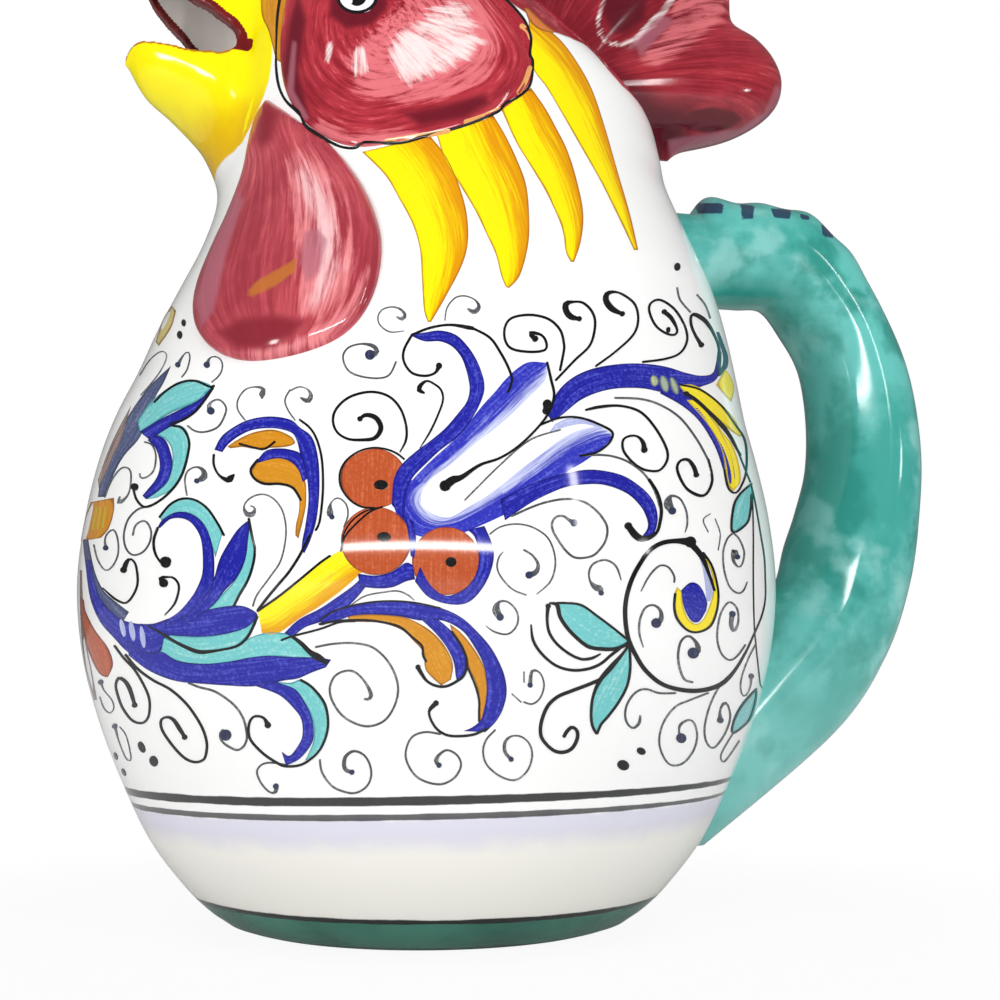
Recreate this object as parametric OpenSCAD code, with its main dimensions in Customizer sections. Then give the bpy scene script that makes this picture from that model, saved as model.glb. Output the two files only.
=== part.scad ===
// A rooster-shaped earthenware pitcher, modelled in millimetres.
// Z is up and the foot stands on Z = 0. The rooster faces -X, its handle is at +X and Y = 0 is the mirror plane.
// The clay parts are made one by one and luted together, so each one is a solid of its own.

/* [Body] */
// Largest radius of the belly
belly_r = 79.7; // [74:0.1:86]
// Height at which the neck is luted on the belly
seam_z = 102; // [96:1:108]
// Thickness of the clay wall
wall = 5; // [4:0.5:6]
// Thickness of the floor
floor_t = 7; // [5:0.5:9]

/* [Foot] */
// Outer radius of the foot ring where it stands
foot_r = 43.5; // [42:0.5:46]
// Width of the flat face that the foot ring stands on
foot_w = 7; // [4:0.5:9]
// Depth of the hollow under the floor
foot_recess = 2.5; // [1.5:0.5:3.5]

/* [Neck and head] */
// Radius of the neck at its narrowest
neck_r = 54.6; // [51:0.1:58]
// Height of the crown of the head
crown_z = 237; // [230:1:244]
// Height of the middle of the throat hole
throat_z = 203; // [200:0.5:205]
// Half width of the throat hole
throat_w = 12; // [9:0.5:12.5]
// Half height of the throat hole
throat_h = 10.5; // [8:0.5:11]

/* [Beak] */
// Reach of the lower beak in front of the pitcher's axis
lower_beak_x = 74; // [71:0.5:80]
// Reach of the upper beak in front of the pitcher's axis
upper_beak_x = 71.5; // [68:0.5:76]
// Half width of the beak at the corners of the mouth
beak_w = 19; // [18:0.5:20]
// Height of the corners of the mouth
mouth_z = 195.5; // [194:0.1:197]
// Height of the chin, where the lower beak runs out on the neck
chin_z = 168; // [164:0.5:171]
// Height of the ridge of the upper beak
ridge_z = 230.5; // [228:0.5:232]
// Thickness of the beak's rims
beak_t = 3.6; // [3:0.1:4.5]
// Depth of the pouring trough in the lower beak
trough_d = 6.5; // [4:0.5:8]

/* [Crest] */
// Distance from the crest's centre to the tip of its largest lobe
crest_r = 80; // [76:0.5:84]
// Half thickness of the crest in the middle of a lobe
crest_t = 15; // [12:0.5:17]
// Half thickness of the crest where it grows out of the head
crest_root_t = 19; // [15:0.5:21]
// Distance of the crest's centre behind the pitcher's axis
crest_x = 18; // [14:0.5:22]
// Height of the crest's centre
crest_z = 192; // [188:0.5:196]

/* [Handle] */
// Reach of the handle behind the pitcher's axis
handle_x = 128.9; // [124:0.1:136]
// Half width of the handle where it is widest
handle_w = 15; // [12:0.5:17]
// Height of the top of the handle
handle_top_z = 176.4; // [172:0.1:182]
// Height at which the tail of the handle ends on the belly
handle_tail_z = 14; // [11:0.5:22]
// Height of the knuckles along the top of the handle
knuckle_h = 1.2; // [0.4:0.1:2]

/* [Wattles and cheeks] */
// Height of the middle of the wattles
wattle_z = 147; // [144:0.5:150]
// Half length of a wattle
wattle_l = 32.5; // [29:0.5:34]
// Half width of a wattle
wattle_w = 24.5; // [21:0.5:26]
// Height that a wattle stands proud of the neck
wattle_h = 5; // [3:0.5:7]
// Height of the middle of the cheeks
cheek_z = 191; // [189:0.5:193]
// Half width of a cheek
cheek_w = 28; // [25:0.5:30]
// Height that a cheek stands proud of the head
cheek_h = 1.8; // [1:0.1:3]

/* [Assembly] */
// Thickness of the film of slip between two luted parts
lute_t = 0.3; // [0.2:0.05:0.4]

/* [Hidden] */

// Colours of the glazes
white_glaze = [0.97, 0.96, 0.93];
yellow_glaze = [0.96, 0.83, 0.05];
crimson_glaze = [0.62, 0.14, 0.22];
teal_glaze = [0.20, 0.62, 0.55];

// Belly outline: shares of seam_z for the height and of belly_r for the radius
belly_shares = [[0.016, 0.569], [0.042, 0.618], [0.088, 0.68], [0.186, 0.778], [0.314, 0.861], [0.451, 0.932],
    [0.588, 0.98], [0.735, 1], [0.882, 0.985], [1, 0.956]];
// Neck and head outline: share of the way from seam_z to crown_z, share of the belly's radius left in the
// blend with neck_r, then shares of that blend for the reach to the front, to the back and to each side
neck_shares = [[0.074, 0.87, 0.995, 1.006, 1], [0.148, 0.72, 0.978, 1.031, 1], [0.222, 0.59, 0.961, 1.047, 1],
    [0.296, 0.44, 0.939, 1.061, 1], [0.37, 0.26, 0.924, 1.066, 0.997], [0.444, 0.1, 0.923, 1.054, 0.997],
    [0.504, 0.02, 0.938, 1.029, 0.993], [0.563, 0, 0.945, 1.011, 0.982], [0.622, 0, 0.934, 0.971, 0.958],
    [0.667, 0, 0.925, 0.879, 0.94], [0.711, 0, 0.916, 0.76, 0.912], [0.756, 0, 0.907, 0.623, 0.875],
    [0.8, 0, 0.89, 0.485, 0.824], [0.844, 0, 0.861, 0.339, 0.751], [0.889, 0, 0.815, 0.183, 0.65],
    [0.933, 0, 0.742, 0.009, 0.504], [0.97, 0, 0.641, -0.165, 0.33], [0.993, 0, 0.513, -0.311, 0.147],
    [1, 0, 0.412, -0.412, 0]];

head_h = crown_z - seam_z;
seam_r = belly_r * belly_shares[len(belly_shares) - 1][1];
// Rows of the outer skin: height, then reach to the front, to the back and to each side
skin_rows = concat(
    [[0, foot_r, foot_r, foot_r]],
    [for (s = belly_shares) [s[0] * seam_z, s[1] * belly_r, s[1] * belly_r, s[1] * belly_r]],
    [for (s = neck_shares) let (r = neck_r + (seam_r - neck_r) * s[1])
        [seam_z + s[0] * head_h, r * s[2], r * s[3], r * s[4]]]);
skin_last = len(skin_rows) - 1;

// Smooth curve through the rows
function row_under(z, i = 0) = (i >= skin_last - 1 || skin_rows[i + 1][0] > z) ? i : row_under(z, i + 1);
function row_slope(i, k) =
    let (lo = skin_rows[max(i - 1, 0)], hi = skin_rows[min(i + 1, skin_last)])
    (hi[k] - lo[k]) / (hi[0] - lo[0]);
function cubic(a, b, slope_a, slope_b, h, t) =
    a * (1 + 2 * t) * pow(1 - t, 2) + b * t * t * (3 - 2 * t)
    + slope_a * h * t * pow(1 - t, 2) - slope_b * h * t * t * (1 - t);
function reach(z, k) =
    let (zc = min(max(z, 0), crown_z), i = row_under(zc),
        h = skin_rows[i + 1][0] - skin_rows[i][0], t = (zc - skin_rows[i][0]) / h)
    cubic(skin_rows[i][k], skin_rows[i + 1][k], row_slope(i, k), row_slope(i + 1, k), h, t);
front_k = 1;
back_k = 2;
side_k = 3;

// One level ring of the skin, moved out by grow
function ring_centre(z) = (reach(z, back_k) - reach(z, front_k)) / 2;
function ring_half(z) = (reach(z, back_k) + reach(z, front_k)) / 2;
function ring_point(z, grow, turn) = [
    ring_centre(z) + (ring_half(z) + grow) * cos(turn), (reach(z, side_k) + grow) * sin(turn), z];
function ring(z, grow, sides) = [for (j = [0:sides - 1]) ring_point(z, grow, 360 * j / sides)];
// Normal of the skin at a height and turn
function unit(v) = v / norm(v);
function skin_normal(z, turn) =
    let (step = lute_t, across = ring_point(z, 0, turn + 1) - ring_point(z, 0, turn - 1),
        up = ring_point(z + step, 0, turn) - ring_point(z - step, 0, turn))
    unit(cross(across, up));
function on_skin(z, turn, grow) = ring_point(z, 0, turn) + skin_normal(z, turn) * grow;
// The skin's X at a given Y and Z, on the back (side = 1) or the front (side = -1), with a film of slip
function skin_x(y, z, side) =
    ring_centre(z) + side * (ring_half(z) + lute_t) * sqrt(max(0, 1 - pow(y / (reach(z, side_k) + lute_t), 2)));
// Is a point inside the skin and its film of slip
function is_inside(p) = p[2] < crown_z + lute_t
    && pow((p[0] - ring_centre(p[2] - lute_t)) / (ring_half(p[2] - lute_t) + lute_t), 2)
    + pow(p[1] / (reach(p[2] - lute_t, side_k) + lute_t), 2) < 1;
bisections = 14;
// Distance along a ray from an inner point to the skin
function ray_to_skin(o, d, lo, hi, n = bisections) = n == 0 ? hi
    : let (mid = (lo + hi) / 2) is_inside(o + d * mid) ? ray_to_skin(o, d, mid, hi, n - 1)
    : ray_to_skin(o, d, lo, mid, n - 1);

// Smooth curve through evenly spaced rows of numbers, at place u from 0 to the last row
function spline(rows, u) =
    let (last = len(rows) - 1, i = min(floor(u), last - 1), t = u - i,
        a = rows[max(i - 1, 0)], b = rows[i], c = rows[i + 1], d = rows[min(i + 2, last)])
    b + (c - a) * t / 2 + (2 * a - 5 * b + 4 * c - d) * t * t / 2 + (3 * b - a - 3 * c + d) * t * t * t / 2;

// Solid between a first point, a list of equal rings and a last point
module skin_solid(first, rings, last) {
    n = len(rings[0]);
    m = len(rings);
    points = concat([first], [for (r = rings) for (p = r) p], [last]);
    faces = concat(
        [for (j = [0:n - 1]) [0, 1 + (j + 1) % n, 1 + j]],
        [for (i = [0:m - 2]) for (j = [0:n - 1])
            let (a = 1 + i * n + j, b = 1 + i * n + (j + 1) % n) each [[a, b, b + n], [a, b + n, a + n]]],
        [for (j = [0:n - 1]) [1 + m * n, 1 + (m - 1) * n + j, 1 + (m - 1) * n + (j + 1) % n]]);
    polyhedron(points, faces);
}

// Solid between equal rings, where each end is closed by zipping point j to point n - 1 - j
module zipped_solid(rings) {
    n = len(rings[0]);
    m = len(rings);
    last = (m - 1) * n;
    faces = concat(
        [for (i = [0:m - 2]) for (j = [0:n - 1])
            let (a = i * n + j, b = i * n + (j + 1) % n) each [[a, b, b + n], [a, b + n, a + n]]],
        [for (j = [0:n / 2 - 2]) each [[j + 1, j, n - 1 - j], [n - 2 - j, j + 1, n - 1 - j]]],
        [for (j = [0:n / 2 - 2]) each [
            [last + j, last + j + 1, last + n - 1 - j], [last + j + 1, last + n - 2 - j, last + n - 1 - j]]]);
    polyhedron([for (r = rings) for (p = r) p], faces);
}

module mirrored(side) {
    if (side < 0) children();
    else mirror([0, 1, 0]) children();
}

// Body: the belly, its floor and its foot ring
belly_steps = 34;
module body() {
    outer = [for (i = [0:belly_steps]) let (z = seam_z * i / belly_steps) [reach(z, front_k), z]];
    inner = [for (i = [belly_steps:-1:0]) let (z = floor_t + (seam_z - floor_t) * i / belly_steps)
        [reach(z, front_k) - wall, z]];
    foot = [[0, foot_recess], [foot_r - foot_w - foot_recess, foot_recess], [foot_r - foot_w, 0]];
    color(white_glaze) rotate_extrude($fn = 96) polygon(concat(foot, outer, inner, [[0, floor_t]]));
}

// Head: the neck and the hollow head, with the throat hole through its front
head_sides = 44;
head_steps = 24;
cavity_steps = 20;
// Rings crowd towards the crown
function head_z(i) = seam_z + head_h * sin(90 * i / head_steps);
module head() {
    crown = [ring_centre(crown_z), 0, crown_z];
    cavity_share = (head_h - wall) / head_h;
    inner = [for (i = [cavity_steps:-1:0])
        [for (p = ring(head_z(i), -wall, head_sides)) [p[0], p[1], seam_z + (p[2] - seam_z) * cavity_share]]];
    outer = [for (i = [0:head_steps - 1]) ring(head_z(i), 0, head_sides)];
    color(white_glaze) difference() {
        skin_solid(crown - [0, 0, wall + lute_t], concat(inner, outer), crown);
        translate([-neck_r - wall, 0, throat_z]) rotate([0, 90, 0])
            linear_extrude(neck_r) scale([throat_h, throat_w]) circle(1, $fn = 48);
    }
}

// Beaks: arches whose rims face each other. A row holds shares of the reach in front of the root, of the
// half width, of the rise of the rim, of the height from the rim to the ridge or the chin, and of the flare
// of the sides below the lips
beak_points = 10;
beak_stations = 16;
lower_shares = [[0, 1, 0, 1, 0.3], [0.1, 0.89, -0.1, 0.83, 0.22], [0.2, 0.83, 0.02, 0.665, 0.17],
    [0.33, 0.75, 0.14, 0.56, 0.11], [0.46, 0.66, 0.36, 0.495, 0.07], [0.575, 0.58, 0.64, 0.458, 0.05],
    [0.755, 0.45, 0.93, 0.389, 0.02], [0.865, 0.34, 1.07, 0.291, 0], [0.94, 0.21, 0.98, 0.164, 0],
    [0.98, 0.1, 0.77, 0.085, 0], [1, 0.05, 0.52, 0.04, 0]];
upper_shares = [[0, 1, 0, 1, 0.1], [-0.07, 0.98, 0.08, 0.93, 0.09], [0.01, 0.947, 0.215, 0.827, 0.08],
    [0.136, 0.895, 0.316, 0.739, 0.07], [0.262, 0.842, 0.418, 0.645, 0.06], [0.41, 0.76, 0.502, 0.554, 0.05],
    [0.5, 0.695, 0.582, 0.474, 0.04], [0.62, 0.642, 0.662, 0.384, 0.03], [0.733, 0.568, 0.743, 0.293, 0.02],
    [0.82, 0.484, 0.81, 0.219, 0.01], [0.9, 0.347, 0.886, 0.136, 0], [0.96, 0.21, 0.949, 0.071, 0],
    [1, 0.07, 1, 0.03, 0]];
// Rise of the rims from the corners of the mouth to the tips
lower_rise = 4.4;
upper_rise = 23.7;

// One arch: outer points from rim to rim, then the inner ones back. down = 1 for the lower beak
function arch(x, w, rim_z, tall, flare, hollow, down, on_root) =
    let (t = min(beak_t, w / 2), d = min(hollow, tall - t),
        outer = [for (j = [0:beak_points]) let (a = 180 * j / beak_points)
            [w * cos(a) * (1 + flare * sin(a)), tall * sin(a)]],
        inner = [for (j = [beak_points:-1:0]) let (a = 180 * j / beak_points) [(w - t) * cos(a), d * sin(a)]])
    [for (q = concat(outer, inner)) let (y = down * q[0], z = rim_z - down * q[1])
        [on_root ? skin_x(y, z, -1) : min(x, skin_x(y, z, -1)), y, z]];

module beak(rows, reach_x, rim_z, rise, tall, hollow_share, hollow_max, down) {
    last = len(rows) - 1;
    zipped_solid([for (i = [0:beak_stations])
        let (s = spline(rows, last * i / beak_stations), h = tall * s[3])
        arch(-root_of(rim_z) - (reach_x - root_of(rim_z)) * s[0], beak_w * s[1], rim_z + rise * s[2], h,
            s[4], min(hollow_max, h * hollow_share), down, i == 0)]);
}
function root_of(z) = -skin_x(0, z, -1);

lower_hollow_share = 0.45;
upper_hollow_share = 0.8;
module lower_beak() {
    color(yellow_glaze) beak(lower_shares, lower_beak_x, mouth_z - lute_t, lower_rise,
        mouth_z - chin_z, lower_hollow_share, trough_d, 1);
}

module upper_beak() {
    color(yellow_glaze) beak(upper_shares, upper_beak_x, mouth_z + lute_t, upper_rise,
        ridge_z - mouth_z, upper_hollow_share, ridge_z - mouth_z - beak_t, -1);
}

// Crest: a puffy fan of lobes around the crest's centre, grown out of the head from nape to forehead.
// Its rim is a share of crest_r at even steps of turn
crest_turn_0 = -6.5;
crest_turn_1 = 140;
crest_rim_shares = [0.549, 0.617, 0.798, 0.924, 0.974, 0.973, 0.942, 0.891, 0.925, 0.98, 1.01, 1.015, 0.995,
    0.94, 0.885, 0.87, 0.905, 0.935, 0.942, 0.93, 0.9, 0.86, 0.835, 0.855, 0.885, 0.9, 0.9, 0.89, 0.875, 0.86];
crest_lobes = 4;
crest_valley_share = 0.62;
crest_tip_share = 0.12;
crest_front_share = 0.5;
crest_steps = 60;
crest_rows = 7;
crest_root_cuts = 4;
// Thickness swells and shrinks with the lobes and runs out round at both ends of the fan
function crest_end(f) = max(crest_tip_share, pow(1 - pow(abs(2 * f - 1), 5), 0.5));
function crest_lobe(f) = crest_valley_share + (1 - crest_valley_share) * abs(sin(180 * f * crest_lobes));
function crest_half(f, v) =
    let (root = crest_root_t * (1 - (1 - crest_front_share) * f), lobe = crest_t * crest_lobe(f))
    crest_end(f) * (root + (lobe - root) * min(1, 1.5 * v)) * sqrt(1 - pow(v, 4));
// Rows crowd towards the rim, so that it comes out round
function crest_v(i) = 1 - pow(1 - i / crest_rows, 1.7);
function crest_section(f) =
    let (turn = crest_turn_0 + (crest_turn_1 - crest_turn_0) * f, d = [cos(turn), 0, sin(turn)],
        rim = crest_r * spline([for (s = crest_rim_shares) [s]], f * (len(crest_rim_shares) - 1))[0],
        t0 = crest_half(f, 0))
    concat(
        [for (i = [0:crest_rows]) let (v = crest_v(i)) crest_point(d, -crest_half(f, v), rim, v)],
        [for (i = [crest_rows - 1:-1:0]) let (v = crest_v(i)) crest_point(d, crest_half(f, v), rim, v)],
        [for (i = [1:crest_root_cuts]) crest_point(d, t0 - 2 * t0 * i / (crest_root_cuts + 1), rim, 0)]);
function crest_point(d, y, rim, v) =
    let (o = [crest_x, y, crest_z], root = ray_to_skin(o, d, 0, crest_r)) o + d * (root + (rim - root) * v);
module crest() {
    sections = [for (i = [0:crest_steps]) crest_section(i / crest_steps)];
    first = sections[0];
    last = sections[crest_steps];
    color(crimson_glaze) skin_solid(centre_of(first), sections, centre_of(last));
}
function centre_of(r) = [for (k = [0:2]) sum_of([for (p = r) p[k]]) / len(r)];
function sum_of(v) = v * [for (x = v) 1];

// Handle: rows of shares for the inner edge and the outer edge. X runs from belly_r to handle_x and Z from
// the tail to the top, then the share of the half width
handle_shares = [[-0.275, 0.82, -0.254, 0.975, 0.86], [-0.116, 0.831, -0.176, 1, 0.88],
    [0.026, 0.833, 0.084, 0.999, 0.91], [0.184, 0.832, 0.365, 0.992, 0.935], [0.299, 0.79, 0.594, 0.938, 0.96],
    [0.396, 0.737, 0.786, 0.847, 0.985], [0.424, 0.659, 0.937, 0.742, 1], [0.404, 0.581, 1, 0.618, 1],
    [0.335, 0.514, 0.978, 0.506, 1], [0.262, 0.459, 0.91, 0.395, 0.975], [0.202, 0.402, 0.751, 0.278, 0.92],
    [0.079, 0.366, 0.45, 0.163, 0.84], [0, 0.32, -0.275, 0, 0.7]];
handle_stations = 36;
handle_sides = 26;
knuckles = 4;
handle_root_cuts = 3;
function handle_row(u) =
    let (s = spline(handle_shares, u), dx = handle_x - belly_r, dz = handle_top_z - handle_tail_z)
    [belly_r + dx * s[0], handle_tail_z + dz * s[1], belly_r + dx * s[2], handle_tail_z + dz * s[3],
        handle_w * s[4]];
// Knuckles stand on the outer edge of the first third of the handle, one to each row of shares
knuckle_row = 0.6;
function knuckle(u) = u < knuckle_row || u > knuckle_row + knuckles ? 0
    : knuckle_h * pow(sin(180 * (u - knuckle_row)), 2);
function handle_ring(u, scale_to, seated) =
    let (h = handle_row(u), mid = [h[0] + h[2], h[1] + h[3]] / 2, arm = [h[2] - h[0], h[3] - h[1]] / 2,
        out = unit(arm))
    [for (j = [0:handle_sides - 1])
        let (a = 360 * j / handle_sides, lump = knuckle(u) * pow(max(0, cos(a)), 3),
            q = mid + arm * cos(a) * scale_to + out * lump, y = h[4] * sin(a) * scale_to)
        [seated ? skin_x(y, q[1], 1) : max(q[0], skin_x(y, q[1], 1)), y, q[1]]];
module handle() {
    last = len(handle_shares) - 1;
    top = [for (k = [1:handle_root_cuts]) handle_ring(0, k / (handle_root_cuts + 1), true)];
    span = [for (i = [0:handle_stations])
        handle_ring(last * i / handle_stations, 1, i == 0 || i == handle_stations)];
    tail = [for (k = [handle_root_cuts:-1:1]) handle_ring(last, k / (handle_root_cuts + 1), true)];
    color(teal_glaze) skin_solid(centre_of(top[0]), concat(top, span, tail), centre_of(tail[0]));
}

// Pads: raised shapes that lie on the skin. An outline is a list of shares of the pad's half width or half
// length at even turns, from the front round over the bottom
pad_cuts = 3;
pad_rows = 5;
pad_sides = 36;
function pad_place(outline, u, k) = spline(outline, u * (len(outline) - 1)) * k;
// Point of a pad: along the ring by an arc length and up by a height from the pad's middle
function pad_point(turn_0, z_0, w, l, q, grow) =
    let (z = z_0 + l * q[1], turn = turn_0 + 180 / PI * w * q[0] / reach(z, side_k))
    on_skin(z, turn, grow);
module pad(outline, turn_0, z_0, w, l, h) {
    under = [for (i = [1:pad_cuts]) [for (j = [0:pad_sides - 1])
        pad_point(turn_0, z_0, w, l, pad_place(outline, j / pad_sides, i / pad_cuts), lute_t)]];
    over = [for (i = [1:pad_rows]) let (a = 90 * i / pad_rows) [for (j = [0:pad_sides - 1])
        pad_point(turn_0, z_0, w, l, pad_place(outline, j / pad_sides, pow(cos(a), 0.6)),
            lute_t + h * sin(a))]];
    middle = pad_place(outline, 0, 0);
    skin_solid(pad_point(turn_0, z_0, w, l, middle, lute_t), concat(under, [for (i = [0:pad_rows - 2]) over[i]]),
        pad_point(turn_0, z_0, w, l, middle, lute_t + h));
}

wattle_turn = -134;
wattle_shares = [[-0.5, 0.98], [-0.2, 0.8], [0.2, 0.53], [0.61, 0.15], [0.91, -0.24], [1, -0.59],
    [0.88, -0.87], [0.55, -0.99], [0.1, -1], [-0.34, -0.88], [-0.7, -0.68], [-0.88, -0.44], [-0.92, -0.12],
    [-0.88, 0.26], [-0.79, 0.62], [-0.66, 0.88], [-0.5, 0.98]];
cheek_turn = -112;
cheek_shares = [[0.1, 0.97], [0.44, 0.88], [0.68, 0.65], [0.83, 0.35], [0.93, 0.03], [0.99, -0.28],
    [0.9, -0.54], [0.68, -0.74], [0.4, -0.88], [0.06, -0.97], [-0.34, -1], [-0.63, -0.86], [-0.86, -0.6],
    [-0.99, -0.28], [-0.99, 0.05], [-0.86, 0.38], [-0.62, 0.68], [-0.28, 0.9], [0.1, 0.97]];
module wattle(side) {
    color(crimson_glaze) mirrored(side) pad(wattle_shares, wattle_turn, wattle_z, wattle_w, wattle_l, wattle_h);
}
module cheek(side) {
    color(crimson_glaze) mirrored(side) pad(cheek_shares, cheek_turn, cheek_z, cheek_w, cheek_w, cheek_h);
}

body();
head();
upper_beak();
lower_beak();
crest();
handle();
wattle(-1);  // wattle_left
wattle(1);  // wattle_right
cheek(-1);  // cheek_left
cheek(1);  // cheek_right
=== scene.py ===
"""A rooster-shaped majolica pitcher: the glazed clay forms and the brush painting on them.

Lengths in this script are millimetres unless a name ends in _m. Turns are radians about the pitcher's axis,
from the handle (+X) at 0. The rooster faces -X and its left side, -Y, is the side that the camera sees.
"""
import logging
import math
from dataclasses import dataclass, field, replace
from enum import Enum
from functools import cached_property
from typing import Sequence

import bpy
import numpy as np
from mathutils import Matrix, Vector
from mathutils.bvhtree import BVHTree


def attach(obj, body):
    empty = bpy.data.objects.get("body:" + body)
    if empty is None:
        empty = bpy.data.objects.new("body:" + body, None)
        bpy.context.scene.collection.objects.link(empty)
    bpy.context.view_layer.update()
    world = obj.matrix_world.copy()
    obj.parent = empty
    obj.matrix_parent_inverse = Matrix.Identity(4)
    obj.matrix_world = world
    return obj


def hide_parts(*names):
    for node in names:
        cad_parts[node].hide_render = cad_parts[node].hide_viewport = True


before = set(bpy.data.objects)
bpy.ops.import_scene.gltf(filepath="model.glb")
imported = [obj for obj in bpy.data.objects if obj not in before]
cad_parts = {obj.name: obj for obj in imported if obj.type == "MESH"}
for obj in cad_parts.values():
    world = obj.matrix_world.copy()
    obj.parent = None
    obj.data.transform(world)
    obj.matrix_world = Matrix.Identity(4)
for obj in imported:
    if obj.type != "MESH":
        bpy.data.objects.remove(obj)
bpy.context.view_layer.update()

LOG = logging.getLogger("pitcher")
MM = 0.001
ROOT = "root"
IMAGE_PX = 1000
Array = np.ndarray
Colour = tuple[float, float, float]
Pixel = tuple[float, float]


def srgb(red: int, green: int, blue: int) -> Colour:
    """Turn a colour as the eye reads it on a screen into the linear colour that a shader takes.

    Args:
        red: Red from 0 to 255.
        green: Green from 0 to 255.
        blue: Blue from 0 to 255.

    Returns:
        The linear colour.
    """
    channels = []
    for level in (red, green, blue):
        share = level / 255
        channels.append(share / 12.92 if share <= 0.04045 else ((share + 0.055) / 1.055) ** 2.4)
    return channels[0], channels[1], channels[2]


def smoothstep(low: float, high: float, value: Array) -> Array:
    """Rise smoothly from 0 at low to 1 at high.

    Args:
        low: Value at which the step starts.
        high: Value at which it ends.
        value: The values to map.

    Returns:
        The mapped values, from 0 to 1.
    """
    share = np.clip((value - low) / (high - low), 0, 1)
    return share * share * (3 - 2 * share)


def spline(rows: Array, places: Array) -> Array:
    """Read a smooth curve through evenly spaced rows.

    Args:
        rows: Rows of numbers, one row per knot.
        places: Places along the rows, from 0 to the last row's number.

    Returns:
        One row per place.
    """
    rows = np.asarray(rows, float)
    last = len(rows) - 1
    index = np.clip(np.floor(places).astype(int), 0, last - 1)
    share = (places - index)[:, None]
    before, start = rows[np.maximum(index - 1, 0)], rows[index]
    end, after = rows[index + 1], rows[np.minimum(index + 2, last)]
    return (start + (end - before) * share / 2 + (2 * before - 5 * start + 4 * end - after) * share ** 2 / 2
            + (3 * start - before - 3 * end + after) * share ** 3 / 2)


@dataclass
class Clay:
    """A mesh under construction: points in millimetres, faces, and paint values with one row per point."""

    points: Array
    faces: list[tuple[int, ...]]
    values: dict[str, Array] = field(default_factory=dict)
    sharp_deg: float = 60.0
    normals: Array | None = None

    def joined(self, other: "Clay") -> "Clay":
        """Return this mesh and another one as one mesh."""
        return merged([self, other])

    def mirrored(self) -> "Clay":
        """Return the mesh's mirror image in the plane Y = 0."""
        flip = np.array([1, -1, 1])
        faces = [face[::-1] for face in self.faces]
        normals = None if self.normals is None else self.normals * flip
        return Clay(self.points * flip, faces, dict(self.values), self.sharp_deg, normals)

    def fired(self, name: str) -> bpy.types.Object:
        """Make the Blender object, shaded with the mesh's own normals unless it brings others.

        Args:
            name: The object's name.

        Returns:
            The object, linked to the scene.
        """
        mesh = bpy.data.meshes.new(name)
        mesh.from_pydata((self.points * MM).tolist(), [], self.faces)
        mesh.polygons.foreach_set("use_smooth", np.ones(len(mesh.polygons), bool))
        for label, value in self.values.items():
            kind, slot = ("FLOAT", "value") if value.ndim == 1 else ("FLOAT_VECTOR", "vector")
            mesh.attributes.new(label, kind, "POINT").data.foreach_set(slot, value.astype(np.float32).ravel())
        if self.normals is None:
            mesh.set_sharp_from_angle(angle=math.radians(self.sharp_deg))
        else:
            mesh.normals_split_custom_set_from_vertices(self.normals.tolist())
        made = bpy.data.objects.new(name, mesh)
        bpy.context.scene.collection.objects.link(made)
        return made


def merged(parts: "Sequence[Clay]") -> Clay:
    """Return several meshes as one mesh."""
    starts = np.cumsum([0] + [len(part.points) for part in parts])
    names = {name for part in parts for name in part.values}
    values = {name: np.concatenate([part.values.get(name, np.zeros(len(part.points))) for part in parts])
              for name in sorted(names)}
    faces = [tuple(corner + int(start) for corner in face)
             for start, part in zip(starts, parts) for face in part.faces]
    shaded = all(part.normals is not None for part in parts)
    return Clay(np.vstack([part.points for part in parts]), faces, values, parts[0].sharp_deg,
                np.vstack([part.normals for part in parts]) if shaded else None)


def lofted(rings: Array, closed_ends: bool = True) -> Clay:
    """Join equal rings of points into a skin.

    Args:
        rings: Points, as rings x points x 3. A ring runs anticlockwise seen from the last ring.
        closed_ends: Whether each end is closed by a fan round its middle.

    Returns:
        The skin.
    """
    count, sides = rings.shape[:2]
    points = rings.reshape(-1, 3)
    faces = []
    for ring in range(count - 1):
        for side in range(sides):
            a, b = ring * sides + side, ring * sides + (side + 1) % sides
            faces.append((a, b, b + sides, a + sides))
    if closed_ends:
        points = np.vstack([points, rings[0].mean(0), rings[-1].mean(0)])
        first, last, base = len(points) - 2, len(points) - 1, (count - 1) * sides
        faces += [(first, (side + 1) % sides, side) for side in range(sides)]
        faces += [(last, base + side, base + (side + 1) % sides) for side in range(sides)]
    return Clay(points, faces)


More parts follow.
